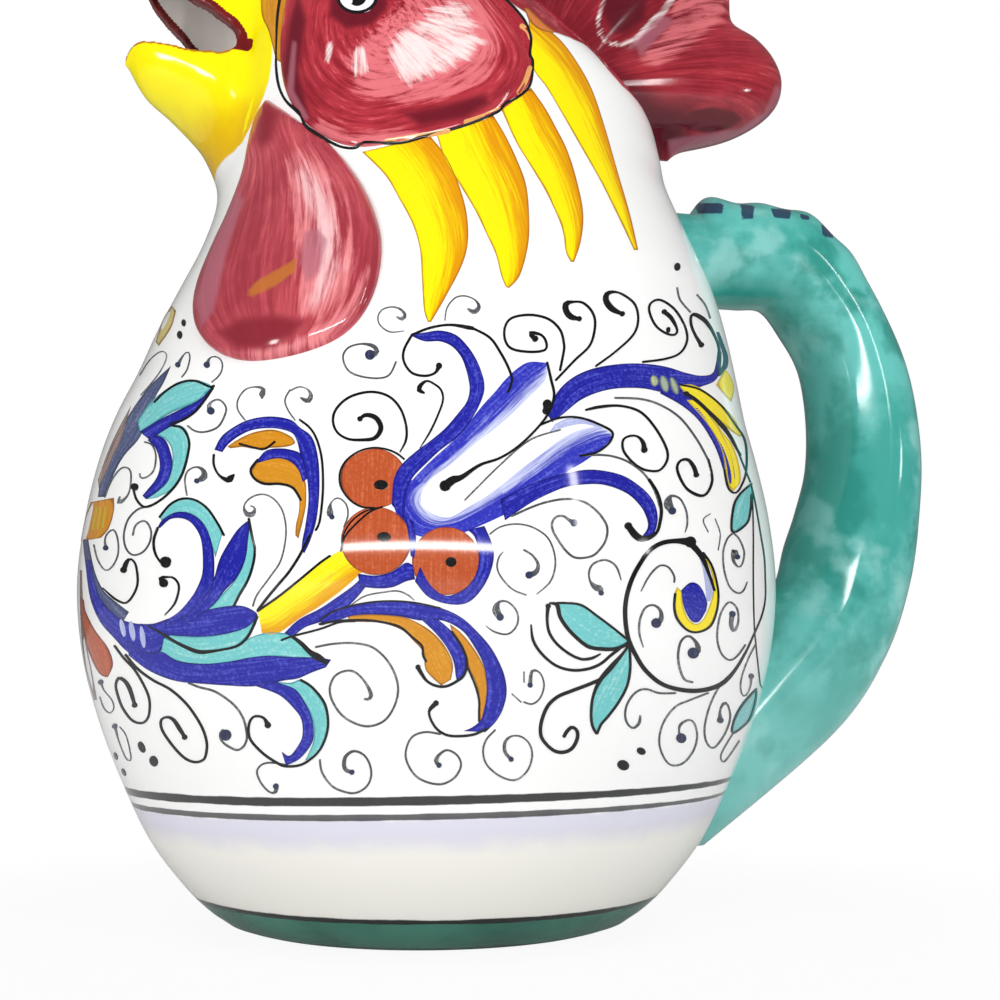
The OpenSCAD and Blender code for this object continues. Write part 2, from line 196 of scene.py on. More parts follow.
@dataclass(frozen=True)
class Skin:
    """The outer skin of belly, neck and head, as level rings. The shares are those of the construction."""

    foot_r: float = 43.5
    belly_r: float = 79.7
    seam_z: float = 102.0
    neck_r: float = 54.6
    crown_z: float = 237.0
    belly_shares: tuple = ((0.016, 0.569), (0.042, 0.618), (0.088, 0.68), (0.186, 0.778), (0.314, 0.861),
                           (0.451, 0.932), (0.588, 0.98), (0.735, 1), (0.882, 0.985), (1, 0.956))
    neck_shares: tuple = (
        (0.074, 0.87, 0.995, 1.006, 1), (0.148, 0.72, 0.978, 1.031, 1), (0.222, 0.59, 0.961, 1.047, 1),
        (0.296, 0.44, 0.939, 1.061, 1), (0.37, 0.26, 0.924, 1.066, 0.997), (0.444, 0.1, 0.923, 1.054, 0.997),
        (0.504, 0.02, 0.938, 1.029, 0.993), (0.563, 0, 0.945, 1.011, 0.982), (0.622, 0, 0.934, 0.971, 0.958),
        (0.667, 0, 0.925, 0.879, 0.94), (0.711, 0, 0.916, 0.76, 0.912), (0.756, 0, 0.907, 0.623, 0.875),
        (0.8, 0, 0.89, 0.485, 0.824), (0.844, 0, 0.861, 0.339, 0.751), (0.889, 0, 0.815, 0.183, 0.65),
        (0.933, 0, 0.742, 0.009, 0.504), (0.97, 0, 0.641, -0.165, 0.33), (0.993, 0, 0.513, -0.311, 0.147),
        (1, 0, 0.412, -0.412, 0))

    @cached_property
    def rows(self) -> Array:
        """The rows: height, then reach to the front, to the back and to each side."""
        seam_r = self.belly_r * self.belly_shares[-1][1]
        rows = [[0.0, self.foot_r, self.foot_r, self.foot_r]]
        rows += [[high * self.seam_z] + [wide * self.belly_r] * 3 for high, wide in self.belly_shares]
        for high, belly, front, back, side in self.neck_shares:
            radius = self.neck_r + (seam_r - self.neck_r) * belly
            height = self.seam_z + high * (self.crown_z - self.seam_z)
            rows.append([height, radius * front, radius * back, radius * side])
        return np.array(rows)

    def reaches(self, z: Array) -> Array:
        """Return the reach to the front, to the back and to each side at each height.

        Args:
            z: Heights.

        Returns:
            The three reaches, along a new last axis.
        """
        rows = self.rows
        height = np.clip(np.asarray(z, float), 0, self.crown_z)
        last = len(rows) - 1
        index = np.clip(np.searchsorted(rows[:, 0], height, side="right") - 1, 0, last - 1)
        knots, reach = rows[:, 0], rows[:, 1:]
        low, high = np.maximum(np.arange(last + 1) - 1, 0), np.minimum(np.arange(last + 1) + 1, last)
        slope = (reach[high] - reach[low]) / (knots[high] - knots[low])[:, None]
        step = (knots[index + 1] - knots[index])[..., None]
        share = (height - knots[index])[..., None] / step
        return (reach[index] * (1 + 2 * share) * (1 - share) ** 2
                + reach[index + 1] * share ** 2 * (3 - 2 * share)
                + slope[index] * step * share * (1 - share) ** 2
                - slope[index + 1] * step * share ** 2 * (1 - share))

    def ring(self, z: Array) -> tuple[Array, Array, Array]:
        """Return the ring's middle in X, its half length and its half width at each height."""
        reach = self.reaches(z)
        return ((reach[..., 1] - reach[..., 0]) / 2, (reach[..., 1] + reach[..., 0]) / 2, reach[..., 2])

    def point(self, z: Array, turn: Array, lift: Array | float = 0.0) -> Array:
        """Return points on the skin, lifted off it along its normal.

        Args:
            z: Heights.
            turn: Turns about the axis.
            lift: Height above the skin.

        Returns:
            The points.
        """
        middle, half, side = self.ring(z)
        place = np.stack([middle + half * np.cos(turn), side * np.sin(turn), z + 0 * turn], -1)
        if np.all(np.asarray(lift) == 0):
            return place
        return place + self.normal(z, turn) * np.asarray(lift)[..., None]

    def normal(self, z: Array, turn: Array) -> Array:
        """Return the skin's outward unit normals."""
        step = 0.3
        across = self.point(z, turn + 0.01) - self.point(z, turn - 0.01)
        up = self.point(z + step, turn) - self.point(z - step, turn)
        normal = np.cross(across, up)
        return normal / np.linalg.norm(normal, axis=-1, keepdims=True)

    def place_of(self, points: Array) -> tuple[Array, Array]:
        """Return the height and turn at which points on the skin lie."""
        middle, half, side = self.ring(points[..., 2])
        return points[..., 2], np.arctan2(points[..., 1] / side, (points[..., 0] - middle) / half)

    def depth(self, points: Array) -> Array:
        """Return how far out points lie, as a share of the ring: under 1 inside the skin, over 1 outside."""
        middle, half, side = self.ring(points[..., 2])
        share = np.hypot((points[..., 0] - middle) / np.maximum(half, 0.01),
                         points[..., 1] / np.maximum(side, 0.01))
        outside = (points[..., 2] < 0) | (points[..., 2] > self.crown_z)
        return np.where(outside, 9.0, share)

    def x_at(self, y: Array, z: Array, side: int) -> Array:
        """Return the skin's X at a given Y and Z, at the back (side 1) or the front (side -1)."""
        middle, half, wide = self.ring(z)
        return middle + side * half * np.sqrt(np.maximum(0, 1 - (y / wide) ** 2))

    def pulled_on(self, points: Array, rounds: int = 4) -> Array:
        """Move points that are near the skin onto it, the shortest way."""
        for _ in range(rounds):
            miss = self.depth(points) - 1
            slope = np.stack([(self.depth(points + shift) - self.depth(points - shift)) / 0.2
                              for shift in np.eye(3) * 0.1], -1)
            points = points - (miss / np.maximum((slope ** 2).sum(-1), 1e-8))[:, None] * slope
        return points

    def hit(self, origin: Array, rays: Array, near: float = 200.0, far: float = 420.0) -> Array:
        """Find where rays from the camera first meet the skin.

        Args:
            origin: The rays' common start.
            rays: Unit directions, one per ray.
            near: Distance from which the skin is looked for.
            far: Distance up to which it is looked for. A ray that misses keeps the point nearest to the skin.

        Returns:
            One point per ray.
        """
        flat = rays.reshape(-1, 3)
        steps = np.linspace(near, far, 140)
        path = origin + steps[None, :, None] * flat[:, None, :]
        depth = self.depth(path)
        inside = depth < 1
        found = inside.any(1)
        first = np.where(found, inside.argmax(1), depth.argmin(1))
        low, high = steps[np.maximum(first - 1, 0)], steps[first]
        for _ in range(22):
            middle = (low + high) / 2
            within = self.depth(origin + middle[:, None] * flat) < 1
            high = np.where(within & found, middle, high)
            low = np.where(within & found, low, middle)
        end = np.where(found, high, steps[first])
        points = origin + end[:, None] * flat
        if not found.all():
            points[~found] = self.pulled_on(points[~found])
        return points.reshape(rays.shape)


SKIN = Skin()


@dataclass(frozen=True)
class Viewpoint:
    """Where the photograph was taken from: close to the pitcher, low down and looking a little up."""

    distance: float = 329.0
    sideways: float = 16.3
    height: float = 49.5
    yaw: float = math.radians(-15.0)
    focal_px: float = 1400.0
    horizon_px: float = 700.0

    @property
    def pitch(self) -> float:
        """The upward tilt of the camera."""
        return math.atan((self.horizon_px - IMAGE_PX / 2) / self.focal_px)

    @property
    def axes(self) -> tuple[Array, Array, Array]:
        """The picture's right, up and forward directions."""
        right = np.array([math.cos(self.yaw), math.sin(self.yaw), 0.0])
        away = np.array([-math.sin(self.yaw), math.cos(self.yaw), 0.0])
        rise = np.array([0.0, 0.0, 1.0])
        up = rise * math.cos(self.pitch) - away * math.sin(self.pitch)
        return right, up, away * math.cos(self.pitch) + rise * math.sin(self.pitch)

    @property
    def eye(self) -> Array:
        """The camera's place."""
        away = np.array([-math.sin(self.yaw), math.cos(self.yaw), 0.0])
        return self.axes[0] * self.sideways - away * self.distance + np.array([0.0, 0.0, self.height])

    def rays(self, pixels: Array) -> Array:
        """Return unit directions through pixels of the photograph."""
        right, up, forward = self.axes
        across = (pixels[..., 0:1] - IMAGE_PX / 2) / self.focal_px
        rise = (IMAGE_PX / 2 - pixels[..., 1:2]) / self.focal_px
        rays = forward + across * right + rise * up
        return rays / np.linalg.norm(rays, axis=-1, keepdims=True)

    def pixels_of(self, points: Array) -> Array:
        """Return the pixels of the photograph at which points are seen."""
        right, up, forward = self.axes
        away = points - self.eye
        depth = away @ forward
        return np.stack([IMAGE_PX / 2 + self.focal_px * (away @ right) / depth,
                         IMAGE_PX / 2 - self.focal_px * (away @ up) / depth], -1)

    def place(self) -> bpy.types.Object:
        """Create the scene's camera."""
        camera = bpy.data.cameras.new("camera")
        camera.sensor_width = 36.0
        camera.lens = camera.sensor_width * self.focal_px / IMAGE_PX
        camera.clip_start = 0.01
        camera.clip_end = 20.0
        stand = bpy.data.objects.new("camera", camera)
        stand.location = Vector(self.eye * MM)
        stand.rotation_euler = Vector(self.axes[2]).to_track_quat("-Z", "Y").to_euler()
        bpy.context.scene.collection.objects.link(stand)
        bpy.context.scene.camera = stand
        return stand


VIEW = Viewpoint()


def pixels_on_skin(pixels: Array) -> tuple[Array, Array]:
    """Return the height and turn on the skin that pixels of the photograph show."""
    return SKIN.place_of(SKIN.hit(VIEW.eye, VIEW.rays(pixels)))


@dataclass(frozen=True)
class Field:
    """A soft-edged area of paint on the side that the camera sees, given by its outline in pixels."""

    outline: tuple[Pixel, ...]
    soft_px: float = 8.0

    def share(self, points: Array) -> Array:
        """Return how far inside the area points lie, from 0 to 1, the same on both sides of Y = 0."""
        near = np.stack([points[:, 0], -np.abs(points[:, 1]), points[:, 2]], 1)
        seen = VIEW.pixels_of(near)
        corners = np.array(self.outline, float)
        nearest = np.full(len(seen), np.inf)
        inside = np.zeros(len(seen), bool)
        for start, end in zip(corners, np.roll(corners, -1, 0)):
            span, away = end - start, seen - start
            share = np.clip(away @ span / (span @ span), 0, 1)
            nearest = np.minimum(nearest, np.linalg.norm(away - share[:, None] * span, axis=1))
            crosses = (start[1] > seen[:, 1]) != (end[1] > seen[:, 1])
            level = span[1] if span[1] else 1.0
            inside ^= crosses & (seen[:, 0] < start[0] + (seen[:, 1] - start[1]) * span[0] / level)
        return smoothstep(-self.soft_px, self.soft_px, np.where(inside, nearest, -nearest))


def painted(points: Array, fields: Sequence[Field]) -> Array:
    """Return the strongest share that any of the areas has at each point."""
    return np.max([field.share(points) for field in fields], axis=0) if fields else np.zeros(len(points))


def tinted(points: Array, tints: dict[str, tuple[Field, ...]]) -> dict[str, Array]:
    """Return the share of each named tint at each point."""
    return {name: painted(points, fields) for name, fields in tints.items()}


class Wire:
    """A value in a shader that can be used in Python expressions."""

    def __init__(self, graph: "Graph", socket: bpy.types.NodeSocket) -> None:
        """Wrap one output socket."""
        self.graph = graph
        self.socket = socket

    def _math(self, operation: str, first: "Wire | float", second: "Wire | float") -> "Wire":
        """Add a Math node and return its result."""
        return self.graph.node("ShaderNodeMath", {"operation": operation}, {0: first, 1: second})

    def __add__(self, other: "Wire | float") -> "Wire":
        """Return the sum."""
        return self._math("ADD", self, other)

    __radd__ = __add__

    def __sub__(self, other: "Wire | float") -> "Wire":
        """Return the difference."""
        return self._math("SUBTRACT", self, other)

    def __rsub__(self, other: float) -> "Wire":
        """Return a number less this value."""
        return self._math("SUBTRACT", other, self)

    def __mul__(self, other: "Wire | float") -> "Wire":
        """Return the product."""
        return self._math("MULTIPLY", self, other)

    __rmul__ = __mul__

    def __truediv__(self, other: "Wire | float") -> "Wire":
        """Return the quotient."""
        return self._math("DIVIDE", self, other)

    def __pow__(self, power: float) -> "Wire":
        """Return the power."""
        return self._math("POWER", self, power)

    def __abs__(self) -> "Wire":
        """Return the size without its sign."""
        return self._math("ABSOLUTE", self, 0.0)

    def step(self, low: float, high: float) -> "Wire":
        """Rise smoothly from 0 at low to 1 at high, or fall where low is above high."""
        if low > high:
            return 1 - self.step(high, low)
        return self.graph.node("ShaderNodeMapRange", {"interpolation_type": "SMOOTHSTEP"},
                               {"Value": self, "From Min": low, "From Max": high})


class Graph:
    """A node tree that is built from expressions."""

    def __init__(self, tree: bpy.types.NodeTree) -> None:
        """Take over a node tree."""
        self.tree = tree

    def node(self, kind: str, settings: dict, inputs: dict, output: int | str = 0) -> Wire:
        """Add a node.

        Args:
            kind: The node's type.
            settings: The node's own settings, set first.
            inputs: Values or wires by the socket's name or number.
            output: The output to return.

        Returns:
            The output's wire.
        """
        made = self.tree.nodes.new(kind)
        for name, value in settings.items():
            setattr(made, name, value)
        for name, value in inputs.items():
            self.feed(made.inputs[name], value)
        return Wire(self, made.outputs[output])

    def feed(self, socket: bpy.types.NodeSocket, value: object) -> None:
        """Give a socket a wire, a number, a vector or a colour."""
        if isinstance(value, Wire):
            self.tree.links.new(value.socket, socket)
        elif isinstance(value, tuple) and socket.type == "RGBA" and len(value) == 3:
            socket.default_value = (*value, 1.0)
        else:
            socket.default_value = value

    def light_path(self, kind: str) -> Wire:
        """Return 1 for rays of one kind and 0 for others."""
        return self.node("ShaderNodeLightPath", {}, {}, kind)


class Sheet(Graph):
    """One material's shader."""

    def __init__(self, name: str) -> None:
        """Start an empty material with a glossy ceramic shader."""
        self.material = bpy.data.materials.new(name)
        self.material.use_nodes = True
        super().__init__(self.material.node_tree)
        self.tree.nodes.clear()
        self.shader = self.tree.nodes.new("ShaderNodeBsdfPrincipled")
        self.surface = self.tree.nodes.new("ShaderNodeOutputMaterial").inputs["Surface"]
        self.feed(self.surface, Wire(self, self.shader.outputs[0]))

    def mix(self, share: "Wire | float", first: "Wire | Colour", second: "Wire | Colour") -> Wire:
        """Mix two colours by a share."""
        return self.node("ShaderNodeMix", {"data_type": "RGBA"}, {0: share, 6: first, 7: second}, 2)

    def value(self, name: str) -> Wire:
        """Read one of the mesh's named values."""
        return self.node("ShaderNodeAttribute", {"attribute_name": name}, {}, "Fac")

    def run(self, name: str) -> Wire:
        """Read one of the mesh's named brush directions, counted in hairs of the brush."""
        return self.node("ShaderNodeAttribute", {"attribute_name": name}, {}, "Vector")

    def place(self) -> Wire:
        """Return the place on the pitcher, in metres."""
        return self.node("ShaderNodeTexCoord", {}, {}, "Object")

    def height(self) -> Wire:
        """Return the height above the foot, in millimetres."""
        return self.node("ShaderNodeSeparateXYZ", {}, {0: self.place()}, "Z") * (1 / MM)

    def across(self) -> Wire:
        """Return the place along X, in millimetres."""
        return self.node("ShaderNodeSeparateXYZ", {}, {0: self.place()}, "X") * (1 / MM)

    def vector(self, x: "Wire | float", y: "Wire | float", z: "Wire | float") -> Wire:
        """Join three values to a vector."""
        return self.node("ShaderNodeCombineXYZ", {}, {0: x, 1: y, 2: z})

    def noise(self, where: Wire, scale: float, detail: float = 3.0, rough: float = 0.55) -> Wire:
        """Return smooth noise, about 0.5 in the middle."""
        return self.node("ShaderNodeTexNoise", {}, {"Vector": where, "Scale": scale, "Detail": detail,
                                                    "Roughness": rough}, "Fac")

    def dress(self, colour: "Wire | Colour", roughness: "Wire | float", bump: Wire | None = None,
              bump_mm: float = 0.0) -> bpy.types.Material:
        """Finish the shader.

        Args:
            colour: The base colour.
            roughness: The roughness.
            bump: A height from 0 to 1, or None.
            bump_mm: What a height of 1 stands for.

        Returns:
            The material.
        """
        self.feed(self.shader.inputs["Base Color"], colour)
        self.feed(self.shader.inputs["Roughness"], roughness)
        self.shader.inputs["IOR"].default_value = 1.5
        if bump is not None:
            self.feed(self.shader.inputs["Normal"], self.node(
                "ShaderNodeBump", {}, {"Strength": 1.0, "Distance": bump_mm * MM, "Height": bump}))
        return self.material


class Slot(str, Enum):
    """The record's material slots."""

    WHITE = "white_glaze"
    YELLOW = "yellow_glaze"
    CRIMSON = "crimson_glaze"
    TEAL = "teal_glaze"
    COBALT = "cobalt_paint"
    TURQUOISE = "turquoise_paint"
    ORANGE = "orange_paint"
    BLACK = "black_line"


def finish_piece(piece: bpy.types.Object, material: bpy.types.Material, slot: Slot,
                 *nodes: str) -> bpy.types.Object:
    """Give a piece its material and hand it to the frame.

    Args:
        piece: The piece.
        material: Its material.
        slot: The record's slot for the piece's finish. Not used.
        nodes: The construction's nodes that it stands for.

    Returns:
        The piece.
    """
    piece.data.materials.clear()
    piece.data.materials.append(material)
    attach(piece, ROOT)
    if nodes:
        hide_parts(*nodes)
    LOG.info("%s: %d faces", piece.name, len(piece.data.polygons))
    return piece


@dataclass(frozen=True)
class TinGlaze:
    """The white tin glaze of the shell, with what is painted on it in bands and fields."""

    white: Colour = srgb(251, 251, 250)
    cream: Colour = srgb(240, 238, 231)
    wash: Colour = srgb(212, 210, 230)
    ink: Colour = srgb(20, 20, 22)
    foot: Colour = srgb(58, 122, 104)
    foot_dark: Colour = srgb(34, 92, 78)
    yellow: Colour = srgb(255, 240, 0)
    # The ochre is painted shade under the beak.
    ochre: Colour = srgb(238, 190, 0)
    lip: Colour = srgb(176, 60, 24)
    rim: Colour = srgb(120, 22, 24)
    rim_dark: Colour = srgb(60, 14, 24)
    palate: Colour = srgb(240, 234, 230)
    comb: Colour = srgb(152, 34, 48)
    comb_light: Colour = srgb(204, 90, 98)
    band_z: float = 31.5
    band_half: float = 0.82
    thin_z: float = 28.5
    thin_half: float = 0.58
    tilt: float = 0.018
    foot_z: float = 7.4

    def material(self) -> bpy.types.Material:
        """Build the material."""
        sheet = Sheet("tin_glaze")
        place, height = sheet.place(), sheet.height()
        wobble = (sheet.noise(place, 14.0, 2.0) - 0.5) * 1.6
        brush = sheet.noise(place, 160.0, 3.0) - 0.5
        level = height - sheet.across() * self.tilt + wobble * 0.35
        colour = sheet.mix((level + brush * 2).step(26.5, 24.0), self.white, self.cream)
        pale = (level + brush * 2).step(28.8, 27.5) * (level + brush * 3).step(20.5, 25.5)
        colour = sheet.mix(pale * 0.75, colour, self.wash)
        finer = sheet.across().step(-10.0, 80.0)
        off_band = abs(level - self.band_z) - self.band_half + brush * 0.4 + finer * 0.38
        off_line = abs(level - self.thin_z) - self.thin_half + brush * 0.35 + finer * 0.25
        colour = sheet.mix(off_band.step(0.12, -0.12) * 0.96, colour, self.ink)
        colour = sheet.mix(off_line.step(0.1, -0.1) * 0.88, colour, self.ink)
        pool = sheet.noise(place, 45.0, 3.0).step(0.35, 0.7)
        low = height + wobble * 0.5
        colour = sheet.mix(low.step(self.foot_z + 0.2, self.foot_z - 0.2), colour,
                           sheet.mix(pool, self.foot, self.foot_dark))
        colour = sheet.mix((abs(low - self.foot_z) + brush * 0.5).step(0.65, 0.35), colour, self.ink)
        # The yellow turns ochre towards the beak's underside: painted shade.
        beak = sheet.mix((sheet.value("under_beak") + brush * 0.5).step(0.2, 1.0), self.yellow, self.ochre)
        colour = sheet.mix((sheet.value("yellow_mm") + brush * 0.8).step(-0.35, 0.35), colour, beak)
        colour = sheet.mix(sheet.value("inside_beak"), colour, self.palate)
        colour = sheet.mix((sheet.value("lip") + brush * 0.4).step(0.4, 0.6) * 0.8, colour, self.lip)
        comb = sheet.mix(sheet.noise(place, 220.0, 4.0, 0.7).step(0.45, 0.7), self.comb, self.comb_light)
        colour = sheet.mix((sheet.value("comb_mm") + brush * 0.8).step(-0.4, 0.4), colour, comb)
        rim = sheet.mix((pool * 0.6 + brush).step(0.1, 0.7), self.rim, self.rim_dark)
        colour = sheet.mix((sheet.value("rim") + brush * 0.25).step(0.4, 0.6), colour, rim)
        return sheet.dress(colour, 0.08, sheet.noise(place, 55.0, 2.0), 0.05)


@dataclass(frozen=True)
class CrimsonGlaze:
    """Crimson brushed thinly over white, so that the brush's hairs leave pink streaks; tints add painted
    highlights and shade.
    """

    name: str
    dark: Colour = srgb(142, 30, 44)
    middle: Colour = srgb(192, 58, 70)
    pink: Colour = srgb(230, 122, 130)
    # Near-white of thin glaze and of painted highlights.
    bare: Colour = srgb(252, 240, 238)
    # Dark crimson of painted shade and dark reflections.
    deep: Colour = srgb(96, 14, 32)
    mauve: Colour = srgb(176, 104, 120)
    tan: Colour = srgb(190, 112, 44)

    def material(self) -> bpy.types.Material:
        """Build the material."""
        sheet = Sheet(self.name)
        place = sheet.place()
        hairs = sheet.noise(sheet.run("hairs"), 1.0, 5.0, 0.7)
        rays = sheet.noise(sheet.run("rays"), 1.0, 5.0, 0.7)
        cloud = sheet.noise(place, 34.0, 4.0, 0.6)
        ragged = (hairs - 0.5) * 0.7 + (cloud - 0.5) * 0.5
        colour = sheet.mix((hairs * 0.55 + cloud * 0.45).step(0.4, 0.6), self.dark, self.middle)
        # The pale tint brings out more pink streaks; on wattle, crest and cheek it also paints reflection.
        thin = hairs + (cloud - 0.5) * 0.4 + sheet.value("pale") * 0.24 - sheet.value("deep") * 0.2
        colour = sheet.mix(thin.step(0.56, 0.8) * 0.85, colour, self.pink)
        # Near-white where the crimson is thin and where a highlight is painted.
        bare = sheet.value("bare") + (rays - 0.5) * 2.4 + (cloud - 0.5) * 0.4
        colour = sheet.mix(bare.step(0.5, 1.25) * 0.95, colour, self.bare)
        # The deep tint paints shade and dark reflection.
        colour = sheet.mix((sheet.value("deep") + ragged).step(0.25, 1.05) * 0.9, colour, self.deep)
        colour = sheet.mix((sheet.value("mauve") + ragged * 0.5).step(0.2, 1.0) * 0.75, colour, self.mauve)
        colour = sheet.mix((sheet.value("tan") + ragged * 0.4).step(0.3, 0.8) * 0.85, colour, self.tan)
        return sheet.dress(colour, 0.1, sheet.noise(place, 60.0, 2.0), 0.06)


@dataclass(frozen=True)
class TealGlaze:
    """Mottled teal, sponged light and dark, with painted light on the loop's outer side and painted shade on
    its inner side.
    """

    pale: Colour = srgb(150, 214, 208)
    light: Colour = srgb(104, 196, 188)
    middle: Colour = srgb(66, 166, 156)
    dark: Colour = srgb(42, 140, 128)
    navy: Colour = srgb(30, 40, 84)

    def material(self) -> bpy.types.Material:
        """Build the material."""
        sheet = Sheet("teal_glaze")
        place = sheet.place()
        cloud = sheet.noise(place, 34.0, 3.0, 0.5)
        grain = (sheet.noise(place, 140.0, 3.0, 0.6) - 0.5) * 0.25
        side, height = sheet.value("side"), sheet.height()
        colour = sheet.mix((cloud + grain).step(0.38, 0.6), self.light, self.middle)
        # The dark blots lean towards the inner side: painted shade.
        blots = sheet.noise(place, 56.0, 3.0, 0.5) + grain - side * 0.06
        colour = sheet.mix(blots.step(0.5, 0.68) * 0.8, colour, self.dark)
        bare = sheet.noise(place, 66.0, 2.0, 0.5) + grain
        colour = sheet.mix(bare.step(0.46, 0.32) * 0.6, colour, self.pale)
        # Paler towards the bottom of the loop; the outer side is made paler as painted light and the inner
        # side darker as painted shade.
        colour = sheet.mix(height.step(80.0, 25.0) * 0.45, colour, self.pale)
        colour = sheet.mix(side.step(0.72, 1.0) * 0.5, colour, self.pale)
        colour = sheet.mix(side.step(-0.4, -1.0) * height.step(20.0, 90.0) * 0.5, colour, self.dark)
        colour = sheet.mix((sheet.value("navy") + grain * 2).step(0.35, 0.65) * 0.9, colour, self.navy)
        return sheet.dress(colour, 0.1, sheet.noise(place, 60.0, 2.0), 0.06)


@dataclass(frozen=True)
class Ink:
    """A brush colour under the clear glaze. A second colour takes the stroke's right part from a share on."""

    name: str
    slot: Slot
    colour: Colour
    light: Colour
    streaks: float = 0.5
    second: Colour | None = None
    second_from: float = 0.2
    edge: Colour | None = None

    def material(self) -> bpy.types.Material:
        """Build the material."""
        sheet = Sheet(self.name)
        along, across = sheet.value("brush_along"), sheet.value("brush_across")
        seed, edge = sheet.value("brush_seed"), sheet.value("edge_mm")
        hairs = sheet.noise(sheet.vector(along * 0.07, across * 1.6, seed), 1.0, 5.0, 0.7)
        grain = sheet.noise(sheet.place(), 1500.0, 2.0, 0.7)
        streaks = (hairs * 0.6 + grain * 0.4).step(0.47, 0.66) * self.streaks
        colour = sheet.mix(streaks, self.colour, self.light)
        if self.second is not None:
            share = sheet.value("share") + (hairs - 0.5) * 1.3
            blend = share.step(self.second_from - 0.3, self.second_from + 0.3)
            colour = sheet.mix(blend, colour, self.second)
        if self.edge is not None:
            colour = sheet.mix((edge + (hairs - 0.5) * 0.9).step(0.6, 0.05) * 0.85, colour, self.edge)
        return sheet.dress(colour, 0.08)


BLACK = Ink("black_ink", Slot.BLACK, srgb(18, 18, 20), srgb(56, 58, 60), 0.4)
GREY = Ink("grey_ink", Slot.BLACK, srgb(78, 80, 84), srgb(176, 178, 182), 0.75)
COBALT = Ink("cobalt_brush", Slot.COBALT, srgb(30, 32, 156), srgb(94, 100, 214), 0.8, edge=srgb(18, 18, 100))
FADE = Ink("cobalt_fade", Slot.COBALT, srgb(46, 50, 180), srgb(110, 118, 216), 0.8, srgb(214, 220, 248), 0.8)
LEMON = Ink("lemon_brush", Slot.YELLOW, srgb(250, 226, 30), srgb(255, 242, 110), 0.6, edge=srgb(188, 160, 40))
SLATE = Ink("slate_brush", Slot.COBALT, srgb(74, 84, 124), srgb(132, 140, 176), 0.8, edge=srgb(50, 58, 84))
MAUVE = Ink("mauve_brush", Slot.ORANGE, srgb(160, 132, 120), srgb(200, 184, 176), 0.8,
            edge=srgb(120, 104, 100))
MOSS = Ink("moss_brush", Slot.TURQUOISE, srgb(164, 180, 158), srgb(222, 216, 110), 0.9,
           edge=srgb(60, 66, 110))
WHITE = Ink("white_ink", Slot.WHITE, srgb(250, 250, 250), srgb(236, 232, 228), 0.4)
WASH = Ink("cobalt_wash", Slot.COBALT, srgb(176, 182, 226), srgb(222, 226, 244), 0.9)
TURQUOISE = Ink("turquoise_brush", Slot.TURQUOISE, srgb(112, 198, 198), srgb(176, 228, 226), 0.8,
                edge=srgb(44, 134, 146))
OCHRE = Ink("ochre_brush", Slot.ORANGE, srgb(208, 138, 26), srgb(230, 168, 66), 0.7, edge=srgb(134, 82, 18))
YELLOW = Ink("yellow_brush", Slot.YELLOW, srgb(254, 234, 0), srgb(255, 244, 96), 0.4, srgb(226, 156, 4), 0.66)
FEATHER = Ink("feather_brush", Slot.YELLOW, srgb(255, 234, 0), srgb(255, 244, 40), 0.3,
              srgb(224, 148, 0), 0.66, srgb(160, 88, 8))
BERRY = Ink("berry_brush", Slot.ORANGE, srgb(184, 82, 42), srgb(220, 128, 90), 0.6, edge=srgb(104, 44, 30))


def zipped(rings: Array) -> Clay:
    """Join rings that run out along one side and back along the other, and close both ends from side to side.

    Args:
        rings: Points, as rings x points x 3. Point j of a ring faces point n - 1 - j.

    Returns:
        The closed skin.
    """
    count, sides = rings.shape[:2]
    skin = lofted(rings, closed_ends=False)
    base = (count - 1) * sides
    faces = list(skin.faces)
    for a in range(sides // 2 - 1):
        b = sides - 1 - a
        faces.append((a + 1, a, b, b - 1))
        faces.append((base + a, base + a + 1, base + b - 1, base + b))
    return Clay(skin.points, faces)


@dataclass(frozen=True)
class Beak:
    """One arch of the open beak. Rows hold shares: reach, half width, rise of the rim, height and flare."""

    rows: tuple
    reach: float
    rim_z: float
    rise: float
    tall: float
    hollow_share: float
    hollow_max: float
    down: int
    width: float = 19.0
    rim_t: float = 3.6
    sunk: float = 2.0
    stations: int = 60
    sides: int = 28

    def clay(self) -> Clay:
        """Build the arch as a closed mesh that reaches into the head."""
        rows = spline(np.array(self.rows), np.linspace(0, len(self.rows) - 1, self.stations + 1))
        root = -float(SKIN.x_at(np.array(0.0), np.array(self.rim_z), -1))
        angles = np.linspace(0, math.pi, self.sides + 1)
        rings = []
        for index, (out, wide, lift, high, flare) in enumerate(rows):
            half, tall = self.width * wide, self.tall * high
            thick = min(self.rim_t, half / 2)
            hollow = min(self.hollow_max, tall * self.hollow_share, tall - thick)
            outer = np.stack([half * np.cos(angles) * (1 + flare * np.sin(angles)), tall * np.sin(angles)], 1)
            inner = np.stack([(half - thick) * np.cos(angles), hollow * np.sin(angles)], 1)[::-1]
            flat = np.vstack([outer, inner])
            y, z = self.down * flat[:, 0], self.rim_z + self.rise * lift - self.down * flat[:, 1]
            skin = SKIN.x_at(y, z, -1)
            x = skin + self.sunk if index == 0 else np.minimum(-root - (self.reach - root) * out, skin)
            rings.append(np.stack([x + 0 * y, y, z], 1))
        return zipped(np.array(rings))

    def part(self, name: str) -> BVHTree:
        """Return a search tree of the arch's outer side, its inner side or its rims."""
        clay = self.clay()
        sides = 2 * (self.sides + 1)
        loop = np.arange(len(clay.faces)) % sides
        body = np.arange(len(clay.faces)) < self.stations * sides
        picks = {"outer": loop < self.sides, "rim": (loop == self.sides) | (loop == sides - 1),
                 "inner": (loop > self.sides) & (loop < sides - 1)}
        faces = [clay.faces[face] for face in np.flatnonzero(picks[name] & body)]
        return BVHTree.FromPolygons(clay.points.tolist(), faces)


